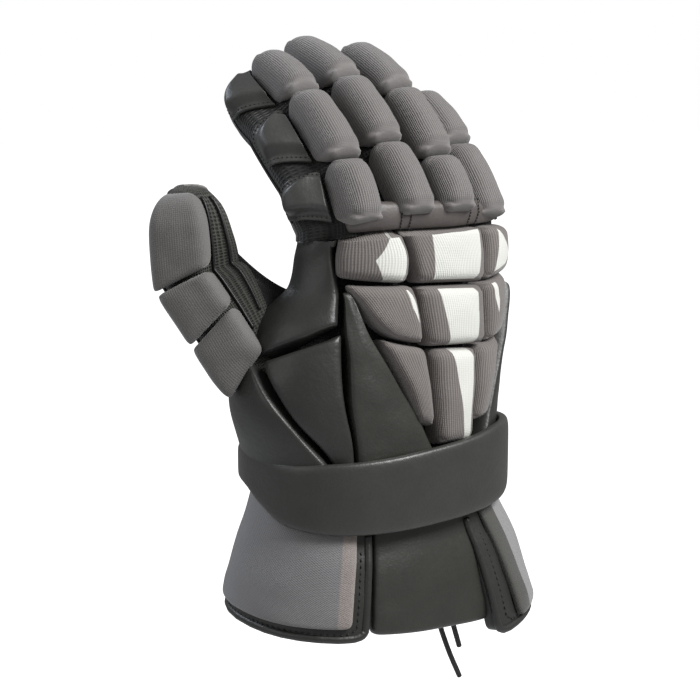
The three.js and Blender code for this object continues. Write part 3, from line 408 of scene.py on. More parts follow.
def in_hand(shares):
    return Vector((shares[0] * HAND_WIDTH, shares[1] * HAND_DEPTH, shares[2] * HAND_LENGTH))


def finger_stall(name):
    root, left, rows = FINGERS[name]
    segments = [(part, tilt, length * FINGER_LENGTH) for part, tilt, length in rows]
    size = (FINGER_WIDTH, FINGER_DEPTH)
    return Stall(in_hand(root), Vector((0, 1, 0)), segments, 0, 0, FINGER_SHAPE, size, left, 1, 1)


def thumb_stall():
    segments = [(part, tilt, length * THUMB_LENGTH) for part, tilt, length in THUMB_SEGMENTS]
    heading = Vector((-math.cos(THUMB_HEADING), math.sin(THUMB_HEADING), 0))
    size = (THUMB_WIDTH, THUMB_DEPTH)
    root, tilt = in_hand(THUMB_ROOT), segments[0][1]
    return Stall(root, heading, segments, THUMB_ROLL, tilt, THUMB_SHAPE, size, 1, THUMB_BULGE, 0)


STALLS = {name: finger_stall(name) for name in FINGERS}
THUMB = thumb_stall()


def edge_at(rows, t):
    """Corner turns and heights of a panel at t, from -1 at its lower edge to 1 at its upper one."""
    table = [(i, *row) for i, row in enumerate(rows)]
    return sample(table, (t + 1) / 2 * (len(rows) - 1))


def on_surface(surface, rows, corner):
    """Puts a flat point (s, t, lift) of a panel on the glove. corner: how far its corners draw in."""

    def place(s, t, lift):
        pulled_s = s * math.sqrt(1 - corner * t * t / 2)
        pulled_t = t * math.sqrt(1 - corner * s * s / 2)
        left_turn, left_height, right_turn, right_height = edge_at(rows, pulled_t)
        share = (pulled_s + 1) / 2
        turn, height = lerp(left_turn, right_turn, share), lerp(left_height, right_height, share)
        return lifted(surface, turn, height, lift)

    return place


# Camera, from the photograph: turned 38 degrees to the thumb side and 10 degrees above the hand
VIEW_TURN = -38
VIEW_RISE = 10
VIEW_DISTANCE = 851
VIEW_ACROSS = -12.875
VIEW_UP = 69.525
LENS = 85
SENSOR = 36


def bearing(turn, rise):
    """A direction out from the glove: degrees from the back of the hand and degrees up."""
    turned, raised = math.radians(turn), math.radians(rise)
    level = math.cos(raised)
    return Vector((math.sin(turned) * level, -math.cos(turned) * level, math.sin(raised)))


def make_camera():
    back = bearing(VIEW_TURN, VIEW_RISE)
    turned = math.radians(VIEW_TURN)
    right = Vector((math.cos(turned), math.sin(turned), 0))
    up = back.cross(right)
    target = right * VIEW_ACROSS + up * VIEW_UP
    data = bpy.data.cameras.new("camera")
    data.lens = LENS
    data.sensor_width = SENSOR
    camera = bpy.data.objects.new("camera", data)
    rotation = Matrix((right, up, back)).transposed().to_4x4()
    camera.matrix_world = Matrix.Translation((target + back * VIEW_DISTANCE) * MM) @ rotation
    bpy.context.scene.collection.objects.link(camera)
    bpy.context.scene.camera = camera


# Materials


def srgb(code):
    """A linear colour from an sRGB hex value."""
    parts = [int(code[i : i + 2], 16) / 255 for i in (0, 2, 4)]
    return (*[((c + 0.055) / 1.055) ** 2.4 if c > 0.04045 else c / 12.92 for c in parts], 1.0)


def add_node(tree, kind, inputs=None, **settings):
    """Adds a node with its settings, and links or fills its inputs."""
    made = tree.nodes.new(kind)
    for key, value in settings.items():
        setattr(made, key, value)
    for key, value in (inputs or {}).items():
        if isinstance(value, bpy.types.NodeSocket):
            tree.links.new(value, made.inputs[key])
        else:
            made.inputs[key].default_value = value
    return made


def new_material(name):
    material = bpy.data.materials.new(name)
    material.use_nodes = True
    tree = material.node_tree
    return material, tree, tree.nodes["Principled BSDF"]


def math_node(tree, operation, *values):
    return add_node(tree, "ShaderNodeMath", dict(enumerate(values)), operation=operation).outputs[0]


def mixed(tree, share, low, high):
    return add_node(tree, "ShaderNodeMix", {0: share, 6: low, 7: high}, data_type="RGBA").outputs[2]


def tinted(tree, base, code, spots, share):
    """A colour with another one worked in where the spots are bright."""
    return mixed(tree, math_node(tree, "MULTIPLY", spots, share), base, srgb(code))


def ramp(tree, value, low, high):
    """0 up to low, 1 from high on."""
    return add_node(tree, "ShaderNodeMapRange", {0: value, 1: low, 2: high}).outputs[0]


def wave(tree, value, period):
    """A smooth wave from 0 to 1 along a length in millimetres."""
    sine = math_node(tree, "SINE", math_node(tree, "MULTIPLY", value, 2 * math.pi / period))
    return math_node(tree, "MULTIPLY_ADD", sine, 0.5, 0.5)


def split_map(tree, name):
    """A flat map as a vector, and its two directions apart."""
    source = add_node(tree, "ShaderNodeUVMap", uv_map=name)
    parts = add_node(tree, "ShaderNodeSeparateXYZ", {0: source.outputs[0]})
    return source.outputs[0], parts.outputs[0], parts.outputs[1]


def object_noise(tree, scale, detail=3.0, rough=0.55):
    """Uneven shade over the object. scale: patches in a metre."""
    spots = add_node(tree, "ShaderNodeTexCoord").outputs["Object"]
    inputs = {"Vector": spots, "Scale": scale, "Detail": detail, "Roughness": rough}
    return add_node(tree, "ShaderNodeTexNoise", inputs).outputs["Fac"]


def cells(tree, spots, scale, randomness=1.0, feature="F1"):
    """Distance from the middles of small cells."""
    inputs = {"Vector": spots, "Scale": scale, "Randomness": randomness}
    return add_node(tree, "ShaderNodeTexVoronoi", inputs, feature=feature).outputs["Distance"]


def coated(tree, shader, colour, roughness, sheen=0.0):
    tree.links.new(colour, shader.inputs["Base Color"])
    shader.inputs["Roughness"].default_value = roughness
    shader.inputs["Sheen Weight"].default_value = sheen


def bumped(tree, shader, heights):
    """Chains bumps of (height socket, depth in millimetres) into the shader."""
    normal = None
    for height, depth in heights:
        inputs = {"Height": height, "Distance": depth * MM, "Strength": 1.0}
        if normal:
            inputs["Normal"] = normal
        normal = add_node(tree, "ShaderNodeBump", inputs).outputs[0]
    tree.links.new(normal, shader.inputs["Normal"])


def inside(tree, across, up, corners):
    """1 inside a convex outline given anticlockwise as shares of a piece, 0 outside it."""
    sharpness = 60.0
    share = None
    for (x0, y0), (x1, y1) in zip(corners, corners[1:] + corners[:1]):
        length = math.hypot(x1 - x0, y1 - y0)
        nx, ny = -(y1 - y0) / length, (x1 - x0) / length
        partial = math_node(tree, "MULTIPLY_ADD", across, nx, -(nx * x0 + ny * y0))
        distance = math_node(tree, "MULTIPLY_ADD", up, ny, partial)
        soft = math_node(tree, "MULTIPLY_ADD", distance, sharpness, 0.5)
        clipped = add_node(tree, "ShaderNodeClamp", {0: soft}).outputs[0]
        share = clipped if share is None else math_node(tree, "MULTIPLY", share, clipped)
    return share


def ribbed_knit(name, light, dark, pitch, depth, smooth_end=0.0, ink=None):
    """Polyester rib knit over foam: matt, with raised ribs along the piece and painted shade darkening the
    valleys between them. smooth_end fades the ribs, with their painted shade, at the lower end; ink is the
    outline of white rubbery ink."""
    row_height, bare_shade = 0.9, 0.8
    material, tree, shader = new_material(name)
    _, across, along = split_map(tree, "mm")
    _, share_across, share_up = split_map(tree, "share")
    ribs = painted_rib_shading = wave(tree, across, pitch)
    fuzz = object_noise(tree, 1800, 2.0)
    if smooth_end:
        fade = ramp(tree, share_up, -1 + smooth_end * 0.4, -1 + smooth_end)
        ribs = math_node(tree, "MULTIPLY", ribs, fade)
        bare = math_node(tree, "SUBTRACT", bare_shade, fade)
        painted_rib_shading = math_node(tree, "MAXIMUM", ribs, bare)
    # Painted shade: the rib valleys take the darker colour and the ridges the lighter one; the bare lower end
    # keeps a steady tone between them.
    colour = mixed(tree, painted_rib_shading, srgb(dark), srgb(light))
    colour = tinted(tree, colour, dark, object_noise(tree, 90), 0.35)
    colour = tinted(tree, colour, "b9b4b0", fuzz, 0.22)
    if ink:
        inked = inside(tree, share_across, share_up, ink)
        # Painted shade: in the rib valleys the ink lets a tenth of the knit's painted valley shade through.
        ink_cover_with_valley_shade = math_node(tree, "MULTIPLY_ADD", ribs, 0.1, 0.9)
        colour = mixed(tree, math_node(tree, "MULTIPLY", inked, ink_cover_with_valley_shade), colour, srgb("cdcec8"))
    coated(tree, shader, colour, 0.82, 0.25)
    bumped(tree, shader, ((ribs, depth), (wave(tree, along, row_height), 0.05), (fuzz, 0.08)))
    return material


def satin_leather(name, base, edge, roughness=0.42):
    """Coated synthetic leather: a satin skin with a fine pebbled grain that breaks up its highlights."""
    spread = 0.18
    material, tree, shader = new_material(name)
    spots = add_node(tree, "ShaderNodeTexCoord").outputs["Object"]
    pebbles = cells(tree, spots, 900, feature="SMOOTH_F1")
    creases = object_noise(tree, 320, 4.0, 0.6)
    colour = mixed(tree, object_noise(tree, 70), srgb(base), srgb(edge))
    coated(tree, shader, tinted(tree, colour, "1c1c1b", pebbles, 0.25), roughness)
    rough = math_node(tree, "MULTIPLY_ADD", creases, spread, roughness - spread / 2)
    tree.links.new(rough, shader.inputs["Roughness"])
    bumped(tree, shader, ((pebbles, 0.06), (creases, 0.16)))
    return material


def perforated_leather(name, base, hole_pitch):
    """Soft palm leather punched with small holes in rows: matt, with a dark dot at every hole."""
    material, tree, shader = new_material(name)
    flat, _, _ = split_map(tree, "mm")
    solid = ramp(tree, cells(tree, flat, 1 / hole_pitch, 0.0), 0.18, 0.28)
    leather = mixed(tree, object_noise(tree, 60), srgb(base), srgb("8a8785"))
    coated(tree, shader, mixed(tree, solid, srgb("161616"), leather), 0.7)
    bumped(tree, shader, ((solid, 0.3), (object_noise(tree, 260, 5.0, 0.65), 0.35)))
    return material


def spacer_mesh(name, yarn, hollow, pitch):
    """Knitted spacer mesh: matt yarn round rows of small dark openings."""
    material, tree, shader = new_material(name)
    flat, _, _ = split_map(tree, "mm")
    knit = ramp(tree, cells(tree, flat, 1 / pitch, 0.12), 0.2, 0.5)
    coated(tree, shader, mixed(tree, knit, srgb(hollow), srgb(yarn)), 0.85, 0.15)
    bumped(tree, shader, ((knit, 0.4),))
    return material


def cuff_twill(name, base, fleck, strip):
    """Fine twill of two greys on the cuff: matt, with a slanted thread, light flecks and a strip of
    another shade. strip: its outline in shares of the piece, and its two shades."""
    material, tree, shader = new_material(name)
    _, across, along = split_map(tree, "mm")
    _, share_across, share_up = split_map(tree, "share")
    thread = wave(tree, math_node(tree, "ADD", across, along), 1.1)
    weft = wave(tree, along, 0.8)
    fuzz = object_noise(tree, 1500)
    colour = mixed(tree, thread, srgb(base), srgb(fleck))
    colour = tinted(tree, colour, "4d4d50", fuzz, 0.4)
    colour = tinted(tree, colour, "57575a", object_noise(tree, 50), 0.25)
    outline, dark, light = strip
    speckled = mixed(tree, fuzz, srgb(dark), srgb(light))
    colour = mixed(tree, inside(tree, share_across, share_up, outline), colour, speckled)
    coated(tree, shader, colour, 0.78, 0.3)
    bumped(tree, shader, ((thread, 0.1), (weft, 0.06), (fuzz, 0.1)))
    return material


def braid(name):
    """Braided polyester lace: black strands that cross in slanted rows, with painted shade between the
    strands and a dull shine.
    """
    strand = 1.6
    material, tree, shader = new_material(name)
    _, across, along = split_map(tree, "mm")
    one = wave(tree, math_node(tree, "ADD", across, along), strand)
    other = wave(tree, math_node(tree, "SUBTRACT", along, across), strand)
    strands = math_node(tree, "MAXIMUM", one, other)
    # Painted shade: the gaps between the strands take the darker black, and the strands' crowns take the
    # lighter one.
    coated(tree, shader, mixed(tree, strands, srgb("050505"), srgb("262627")), 0.6)
    bumped(tree, shader, ((strands, 0.3),))
    return material


def bonded_thread(name, base):
    """Bonded nylon sewing thread: round, smooth and slightly shiny."""
    material, tree, shader = new_material(name)
    coated(tree, shader, mixed(tree, object_noise(tree, 900), srgb(base), srgb("0d0d0d")), 0.45)
    return material


# Mesh building


def new_shape():
    bm = bmesh.new()
    bm.loops.layers.uv.new("mm")
    bm.loops.layers.uv.new("share")
    return bm


def write_maps(bm, faces, half, drop):
    """Lays the flat maps: millimetres unrolled over the sides, and shares from -1 to 1."""
    size_map = bm.loops.layers.uv["mm"]
    share_map = bm.loops.layers.uv["share"]
    for face in faces:
        normal = face.normal
        for loop in face.loops:
            s, t, f = loop.vert.co
            down = drop * (1 - f) / 2
            u = s * half[0] + (math.copysign(down, normal.x) if abs(normal.x) > 0.5 else 0)
            v = t * half[1] + (math.copysign(down, normal.y) if abs(normal.y) > 0.5 else 0)
            loop[size_map].uv = (u, v)
            loop[share_map].uv = (s, t)


def add_block(bm, columns, rows, layers, half, drop):
    """A cube from -1 to 1 cut into a grid, with its maps."""
    bmesh.ops.create_cube(bm, size=2)
    for axis, count in enumerate((columns, rows, layers)):
        edges = [e for e in bm.edges if abs((e.verts[0].co - e.verts[1].co)[axis]) > 1e-6]
        bmesh.ops.subdivide_edges(bm, edges=edges, cuts=count - 1, use_grid_fill=True)
    for vert in bm.verts:
        vert.co.x *= 1 + CROWDING - CROWDING * vert.co.x**2
        vert.co.y *= 1 + CROWDING - CROWDING * vert.co.y**2
    bm.normal_update()
    write_maps(bm, bm.faces, half, drop)
    return list(bm.verts)


def add_sheet(bm, columns, rows, half):
    """A flat grid from -1 to 1, with its maps."""
    verts = bmesh.ops.create_grid(bm, x_segments=columns, y_segments=rows, size=1)["verts"]
    faces = {f for v in verts for f in v.link_faces}
    bm.normal_update()
    write_maps(bm, faces, half, 0)
    return verts


def rounded_pair(a, b, core_a, core_b, radius_a, radius_b):
    """Two lengths of a point in a square corner, moved into a round one."""
    off_a, off_b = (a - core_a) / radius_a, (b - core_b) / radius_b
    longest = max(abs(off_a), abs(off_b))
    keep = longest / math.hypot(off_a, off_b) if longest > 1e-9 else 1
    return core_a + off_a * keep * radius_a, core_b + off_b * keep * radius_b


def rolled(s, t, f, half, height, roll, corner):
    """A point of a block in millimetres across, along and up, with its upper edges rolled by the
    radii in roll and its outline rounded at the corners."""

    def core(value, i, radius):
        return clamp(value, radius - half[i], half[i] - radius)

    x, y, z = s * half[0], t * half[1], (f + 1) / 2 * height
    level = height - roll[2]
    x, z = rounded_pair(x, z, core(x, 0, roll[0]), min(z, level), roll[0], roll[2])
    y, z = rounded_pair(y, z, core(y, 1, roll[1]), min(z, level), roll[1], roll[2])
    x, y = rounded_pair(x, y, core(x, 0, corner), core(y, 1, corner), corner, corner)
    return x, y, z


def finish_piece(name, bm, material, nodes, levels=1, wall=0.0, closed=False):
    """Makes the object, in metres, that stands for the CAD nodes."""
    if closed:
        bmesh.ops.remove_doubles(bm, verts=bm.verts, dist=SEAM_REACH)
        bmesh.ops.recalc_face_normals(bm, faces=bm.faces)
    bmesh.ops.scale(bm, vec=(MM, MM, MM), verts=bm.verts)
    mesh = bpy.data.meshes.new(name)
    bm.to_mesh(mesh)
    bm.free()
    mesh.shade_smooth()
    mesh.materials.append(material)
    piece = bpy.data.objects.new(name, mesh)
    bpy.context.scene.collection.objects.link(piece)
    if wall:
        shell = piece.modifiers.new("wall", "SOLIDIFY")
        shell.thickness = wall * MM
        shell.offset = -1
    if levels:
        smooth = piece.modifiers.new("smooth", "SUBSURF")
        smooth.levels = levels
        smooth.render_levels = levels
    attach(piece, "root")
    if nodes:
        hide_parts(*nodes)
    return piece


def stall_cushion(stall, span, length, size, taper, roll, outline, options=None):
    """A cushion over the back of a stall, between two places, that hugs the stall below.
    size: width and height, roll: radii of its upper edges, outline: radius of its corners seen
    from above. The options hold its crown, its seam and how far its ends lean."""
    chosen = {"crown": 2.0, "slant": None, "seam": 0.15, **(options or {})}
    start, end = span
    width, height = size
    half = (width / 2, length / 2 - chosen["seam"])
    inset = chosen["seam"] / length
    bm = new_shape()
    for vert in add_block(bm, 16, 22, 5, half, DRAWN_HEIGHT):
        s, t, f = vert.co
        x, y, z = rolled(s, t, f, half, DRAWN_HEIGHT, roll, outline)
        under = (1 - min(z / (DRAWN_HEIGHT - roll[2]), 1)) ** 2
        x, y = x * (1 - FOOT_SIDES * under), y * (1 - FOOT_ENDS * under)
        p, q = x / half[0], y / half[1]
        place = lerp(start + inset, end - inset, (q + 1) / 2)
        if chosen["slant"]:
            place += sample(chosen["slant"], place)[0] * p
        _, dorsal, across, _, _, _, _ = stall.at(place)
        tall, wide = sample(taper, q)
        edge = lifted(stall.surface, PAD_EDGE, place, STALL_SEAT)
        other = lifted(stall.surface, -PAD_EDGE, place, STALL_SEAT)
        middle = (edge + other) / 2
        ridge = lifted(stall.surface, 0, place, STALL_SEAT)
        top = (ridge - middle).dot(dorsal) + height * tall
        puff = chosen["crown"] * (1 - p**2) * (1 - q**2)
        puff += UNEVEN * noise.noise(Vector((x, y, place * 30)) / 9)
        up = z / DRAWN_HEIGHT * (top + puff)
        if f < -0.999:
            hugged = lifted(stall.surface, PAD_EDGE * s, place, STALL_SEAT)
            up = max((hugged - middle).dot(dorsal), 0)
        vert.co = middle + across * x * wide + dorsal * up
    return bm


def surface_cushion(surface, rows, thickness, options):
    """A cushion or panel laid on a surface inside its rows. It also gives the function that finds
    a spot over the piece from its shares across and up. The options hold the cuts of its grid, the
    radii of its rolled edges and its outline, how far its corners draw in, its seat, half of the
    valley round it, its crown, a table that tucks it in upwards and a function that shapes it."""
    chosen = {
        "outline": 2.5, "corner": 0.0, "seat": 0.9, "seam": 0.35, "crown": 0.0, "tuck": None,
        "shape": None, **options,
    }
    place = on_surface(surface, rows, chosen["corner"])
    width = (place(-1, 0, 0) - place(1, 0, 0)).length
    length = (place(0, -1, 0) - place(0, 1, 0)).length
    half = (width / 2 - chosen["seam"], length / 2 - chosen["seam"])
    keep = (2 * half[0] / width, 2 * half[1] / length)
    roll = [min(r, 0.8 * h) for r, h in zip(chosen["roll"], (*half, thickness))]
    outline = min(chosen["outline"], 0.5 * min(half))

    def spot(p, q, lift):
        off = chosen["seat"] + lift
        if chosen["tuck"]:
            off *= sample(chosen["tuck"], q)[0]
        return place(p * keep[0], q * keep[1], off)

    bm = new_shape()
    for vert in add_block(bm, *chosen["grid"], half, thickness):
        s, t, f = vert.co
        x, y, z = rolled(s, t, f, half, thickness, roll, outline)
        p, q = x / half[0], y / half[1]
        puff = chosen["crown"] * (1 - p * p) * (1 - q * q)
        puff += UNEVEN * noise.noise(Vector((x, y, width)) / 12)
        z += puff * (f + 1) / 2
        if chosen["shape"]:
            z = chosen["shape"](p, q, z)
        vert.co = spot(p, q, z)
    return bm, spot


def add_stitches(bm, line, spacing, length, thickness):
    """Thread in short rounded stitches along a line of points."""
    left = spacing / 2
    for a, b in zip(line, line[1:]):
        step = b - a
        while left < step.length:
            turned = step.to_track_quat("Z", "Y").to_matrix().to_4x4()
            shape = Matrix.Diagonal((thickness / 2, thickness / 2, length / 2, 1))
            spot = Matrix.Translation(a + step.normalized() * left)
            bmesh.ops.create_icosphere(bm, subdivisions=1, radius=1, matrix=spot @ turned @ shape)
            left += spacing
        left -= step.length


def line_between(spot, corners, lift, steps=24, shape=None):
    """Points over a piece along straight runs between corners given as its shares."""
    points = []
    for (p0, q0), (p1, q1) in zip(corners, corners[1:]):
        for i in range(steps + 1):
            p, q = lerp(p0, p1, i / steps), lerp(q0, q1, i / steps)
            points.append(spot(p, q, shape(p, q, lift) if shape else lift))
    return points


def hand_edge(height):
    """Turn at which the back of the hand meets the palm."""
    palm = sample(HAND, height)[3] * HAND_DEPTH
    return math.acos(-min(1, PALM_LEVEL / palm) ** (ROUNDNESS / 2)) / math.pi


def add_hand_side(bm, back):
    """The liner of the hand, its back or its palm, with a domed upper end."""
    low, high = HAND[0][0], HAND[-1][0]
    dome, narrowing, rise = 0.12, 0.1, 2.5
    for vert in add_sheet(bm, 48, 60, (80, 84)):
        s, t, _ = vert.co
        share = (t + 1) / 2 * (1 + dome)
        height = lerp(low, high, min(share, 1))
        edge = hand_edge(height)
        turn = s * edge if back else lerp(edge, 2 - edge, (1 - s) / 2)
        point = lifted(hand_surface, turn, height, -GAP)
        beyond = clamp((share - 1) / dome, 0, 1)
        point.y = lerp(point.y, PALM_LEVEL, beyond)
        point.x *= 1 - narrowing * beyond
        point.z += rise * math.sin(beyond * math.pi / 2)
        vert.co = point


def add_stall_skin(bm, stall, start, turns, lift, columns, circumference):
    """A skin round a stall between two turns, closed over its tip."""
    length = sum(stall.lengths)
    for vert in add_sheet(bm, columns, 60, (circumference / 2, length / 2)):
        s, t, _ = vert.co
        share = (t + 1) / 2
        ahead = clamp((share - SKIN_BODY) / (1 - SKIN_BODY), 0, 1)
        place = lerp(start, stall.count, min(share / SKIN_BODY, 1))
        turn = lerp(turns[0], turns[1], (s + 1) / 2)
        point = lifted(stall.surface, turn, min(place, stall.count - 1e-3), lift)
        if ahead:
            spot, dorsal, across, _, _, _, _ = stall.at(stall.count)
            angle = ahead * math.pi / 2
            forward = dorsal.cross(across) * (TIP_DOME + lift) * math.sin(angle)
            point = spot + (point - spot) * math.cos(angle) + forward
        vert.co = point


# Cords


def curve_points(route, count):
    """Points on the smooth curve through a route, as the CAD's cords run."""
    points = [Vector(p) for p in route]
    points = [2 * points[0] - points[1], *points, 2 * points[-1] - points[-2]]
    result = []
    for step in range(count + 1):
        along = step / count * (len(points) - 3)
        i = min(int(along), len(points) - 4)
        w = along - i
        p0, p1, p2, p3 = points[i : i + 4]
        d0, d1, d2 = ((b - a).length ** 0.5 for a, b in ((p0, p1), (p1, p2), (p2, p3)))
        slope1 = ((p1 - p0) / d0 - (p2 - p0) / (d0 + d1) + (p2 - p1) / d1) * d1
        slope2 = ((p2 - p1) / d1 - (p3 - p1) / (d1 + d2) + (p3 - p2) / d2) * d1
        result.append(curve(w, p1, slope1, p2, slope2))
    return result


def add_cord(bm, path, diameter, sides=16):
    """A tube along a path with rounded ends."""
    lengths = [0.0]
    for a, b in zip(path, path[1:]):
        lengths.append(lengths[-1] + (b - a).length)
    total = lengths[-1]
    rows = max(40, int(total / 0.8))
    frames = []
    normal = Vector((0.3, 1, 0.2)).normalized()
    for i, point in enumerate(path):
        tangent = (path[min(i + 1, len(path) - 1)] - path[max(i - 1, 0)]).normalized()
        normal = (normal - tangent * normal.dot(tangent)).normalized()
        frames.append((point, tangent, normal.copy()))
    radius = diameter / 2
    for vert in add_sheet(bm, sides, rows, (math.pi * radius, total / 2)):
        s, t, _ = vert.co
        along = (t + 1) / 2 * total
        i = 0
        while i < len(path) - 2 and lengths[i + 1] < along:
            i += 1
        w = (along - lengths[i]) / (lengths[i + 1] - lengths[i])
        spot = frames[i][0].lerp(frames[i + 1][0], w)
        tangent = frames[i][1].lerp(frames[i + 1][1], w).normalized()
        side = frames[i][2].lerp(frames[i + 1][2], w)
        side = (side - tangent * side.dot(tangent)).normalized()
        end = min(along, total - along)
        size = radius if end >= radius else radius * math.sqrt(max(1 - (1 - end / radius) ** 2, 0))
        angle = math.pi * s
        vert.co = spot + (side * math.cos(angle) + tangent.cross(side) * math.sin(angle)) * size


def make_laces(material):
    def hung(height, points):
        start = lifted(cuff_surface, LACE_RIGHT, height, -2 * LACE)
        start.z -= LACE / 2 + GAP
        return [start, *points]

    for name, height, route in (
        ("lace_short", LACE_HEIGHTS[0], LACE_SHORT_ROUTE),
        ("lace_long", LACE_HEIGHTS[1], LACE_LONG_ROUTE),
    ):
        path = curve_points(hung(height, route), 30)
        bm = new_shape()
        add_cord(bm, path, LACE)
        lace = finish_piece(f"braided_{name}", bm, material, [name], levels=0, closed=True)
        length = sum((b - a).length for a, b in zip(path, path[1:])) * MM
    for i, height in enumerate(LACE_HEIGHTS):
        out = CUFF_PANEL + LACE / 2 + 2 * GAP
        flush = CUFF_PANEL - 2 * GAP
        stops = ((0, -2 * LACE), (0, flush), (0.12, out), (0.5, out), (0.88, out), (1, flush), (1, -2 * LACE))
        turns = [lerp(LACE_RIGHT, LACE_LEFT, share) for share, _ in stops]
        route = [lifted(cuff_surface, turn, height, lift) for turn, (_, lift) in zip(turns, stops)]
        bm = new_shape()
        add_cord(bm, curve_points(route, 36), LACE)
        name = f"lace_bridge_{i + 1}"
        finish_piece(f"braided_{name}", bm, material, [name], levels=0, closed=True)


def make_eyelets(material):
    """Small tapered eyelets where the laces pass through the flaps of the cuff."""
    foot, top, rise = EYELET
    bm = new_shape()
    for height in LACE_HEIGHTS:
        for turn in (LACE_RIGHT, LACE_LEFT):
            low = lifted(cuff_surface, turn, height, CUFF_PANEL)
            out = (lifted(cuff_surface, turn, height, CUFF_PANEL + 1) - low).normalized()
            turned = out.to_track_quat("Z", "Y").to_matrix().to_4x4()
            bmesh.ops.create_cone(
                bm, cap_ends=True, segments=24, radius1=foot, radius2=top, depth=rise,
                matrix=Matrix.Translation(low + out * 0.5) @ turned,
            )
    finish_piece("eyelets_of_cuff", bm, material, [], levels=0)


# Pieces


def make_finger_pads(material, tip_material):
    for name, stall in STALLS.items():
        for i, part in enumerate(stall.names):
            last = i == stall.count - 1
            span = (FIRST_START if i == 0 else i, i + 1 + LAST_REACH if last else i + 1)
            taper = TIP_TAPER if last else TUCKED
            bm = stall_cushion(stall, span, stall.lengths[i], FINGER_PAD, taper, (9, 7.5, 9), 4.5)
            finish_piece(
                f"cushion_{name}_{part}", bm, tip_material if last else material,
                [f"{name}_pad_{part}"],
            )


def make_thumb_pads(material):
    options = {"crown": 1.0, "slant": THUMB_SLANT, "seam": 0.8}
    tapers = {"base": THUMB_START, "mid": EVEN, "tip": THUMB_TAPER}
    for part, taper in tapers.items():
        i = THUMB.names.index(part)
        span = (i, i + 1 + LAST_REACH if part == "tip" else i + 1)
        bm = stall_cushion(THUMB, span, THUMB.lengths[i], THUMB_PAD, taper, (6, 3, 4.5), 2.5, options)
        nodes = [f"thumb_pad_{part}"]
        finish_piece(f"cushion_thumb_{part}", bm, material, nodes)


def make_back_pads(materials):
    options = {
        "grid": (20, 20, 5), "roll": (5, 5, 6.5), "outline": 3, "corner": 0.03, "seam": -0.15, "crown": 1.8,
    }
    for name, rows in BACK_PADS.items():
        bm, _ = surface_cushion(hand_surface, rows, BACK_PAD, options)
        nodes = [f"back_pad_{name}"]
        finish_piece(f"cushion_back_{name}", bm, materials[name], nodes)


def make_panels(leather, olive):
    options = {"grid": (30, 30, 4), "roll": (2.4, 2.4, 3), "outline": 1, "seam": 0.1, "crown": 1.0}
    for name, rows, thickness, skin, tuck in (
        ("side_panel_upper", SIDE_PANEL_UPPER, SIDE_PANEL, leather, None),
        ("side_panel_lower", SIDE_PANEL_LOWER, SIDE_PANEL, leather, None),
        ("thumb_base_panel", THUMB_BASE_PANEL, THUMB_BASE, leather, None),
        ("wedge_panel", WEDGE_PANEL, SIDE_PANEL, olive, None),
        ("ulnar_panel", ULNAR_PANEL, ULNAR_SIDE, leather, ULNAR_RISE),
    ):
        bm, _ = surface_cushion(hand_surface, rows, thickness, dict(options, tuck=tuck))
        finish_piece(f"padded_{name}", bm, skin, [name])


def make_knuckle_band(material, thread):
    options = {"grid": (60, 6, 3), "roll": (2, 2, 2), "seam": 0.2}
    bm, spot = surface_cushion(hand_surface, KNUCKLE_ROWS, KNUCKLE_BAND, options)
    finish_piece("band_over_knuckles", bm, material, ["knuckle_band"])
    bm = new_shape()
    for place in BAND_SLITS:
        slit = ((place, -0.9), (place + 0.01, 0.95))
        add_stitches(bm, line_between(spot, slit, KNUCKLE_BAND + 0.2, 6), 1.6, 1.5, 0.8)
    finish_piece("slits_in_knuckle_band", bm, thread, [], levels=0)


def guard_shape(p, q, z):
    """A flat stitched flange on three sides round a domed middle that meets the cushion."""
    room = min((1 + p) / 0.42, (1 - p) / 0.08, (1 + q) / 0.32, (1 - q) / 0.26)
    return z * lerp(0.3, 1.15, smoothstep(room, 0.6, 1.6))


def flared(p, q, z):
    """The right flap stands off the cuff at its free edge."""
    return z + 3.5 * smoothstep(-p, -0.3, 0.9) * smoothstep(-q, -0.4, 1)


def make_index_guards(leather, thread):
    options = {
        "grid": (30, 30, 3), "roll": (0.8, 0.8, 0.8), "outline": 1, "corner": 0.02, "shape": guard_shape,
    }
    stitches = new_shape()
    for part, rows in GUARD_ROWS.items():
        bm, spot = surface_cushion(STALLS["index"].surface, rows, FINGER_GUARD, options)
        nodes = [f"index_side_{part}"]
        finish_piece(f"guard_index_{part}", bm, leather, nodes)
        add_stitches(stitches, line_between(spot, GUARD_HEM, 1.7), 2.2, 1.3, 0.7)
    finish_piece("stitches_on_guards", stitches, thread, [], levels=0)


def make_strap(material):
    bm = new_shape()
    for vert in add_sheet(bm, 150, 30, (190, 42)):
        turn, around, _ = vert.co
        top, bottom = sample(STRAP, turn)
        angle = math.pi * around
        off = 0.5 + 0.5 * bend(math.cos(angle), 0.55)
        rise = 0.5 + 0.5 * bend(math.sin(angle), 0.32)
        size = grown(sample(HAND, 0), STRAP_SEAT + off * STRAP_THICKNESS)
        vert.co = section_point(turn, size, lerp(bottom, top, rise) * STRAP_HEIGHT)
    finish_piece("padded_strap", bm, material, ["wrist_strap"], closed=True)


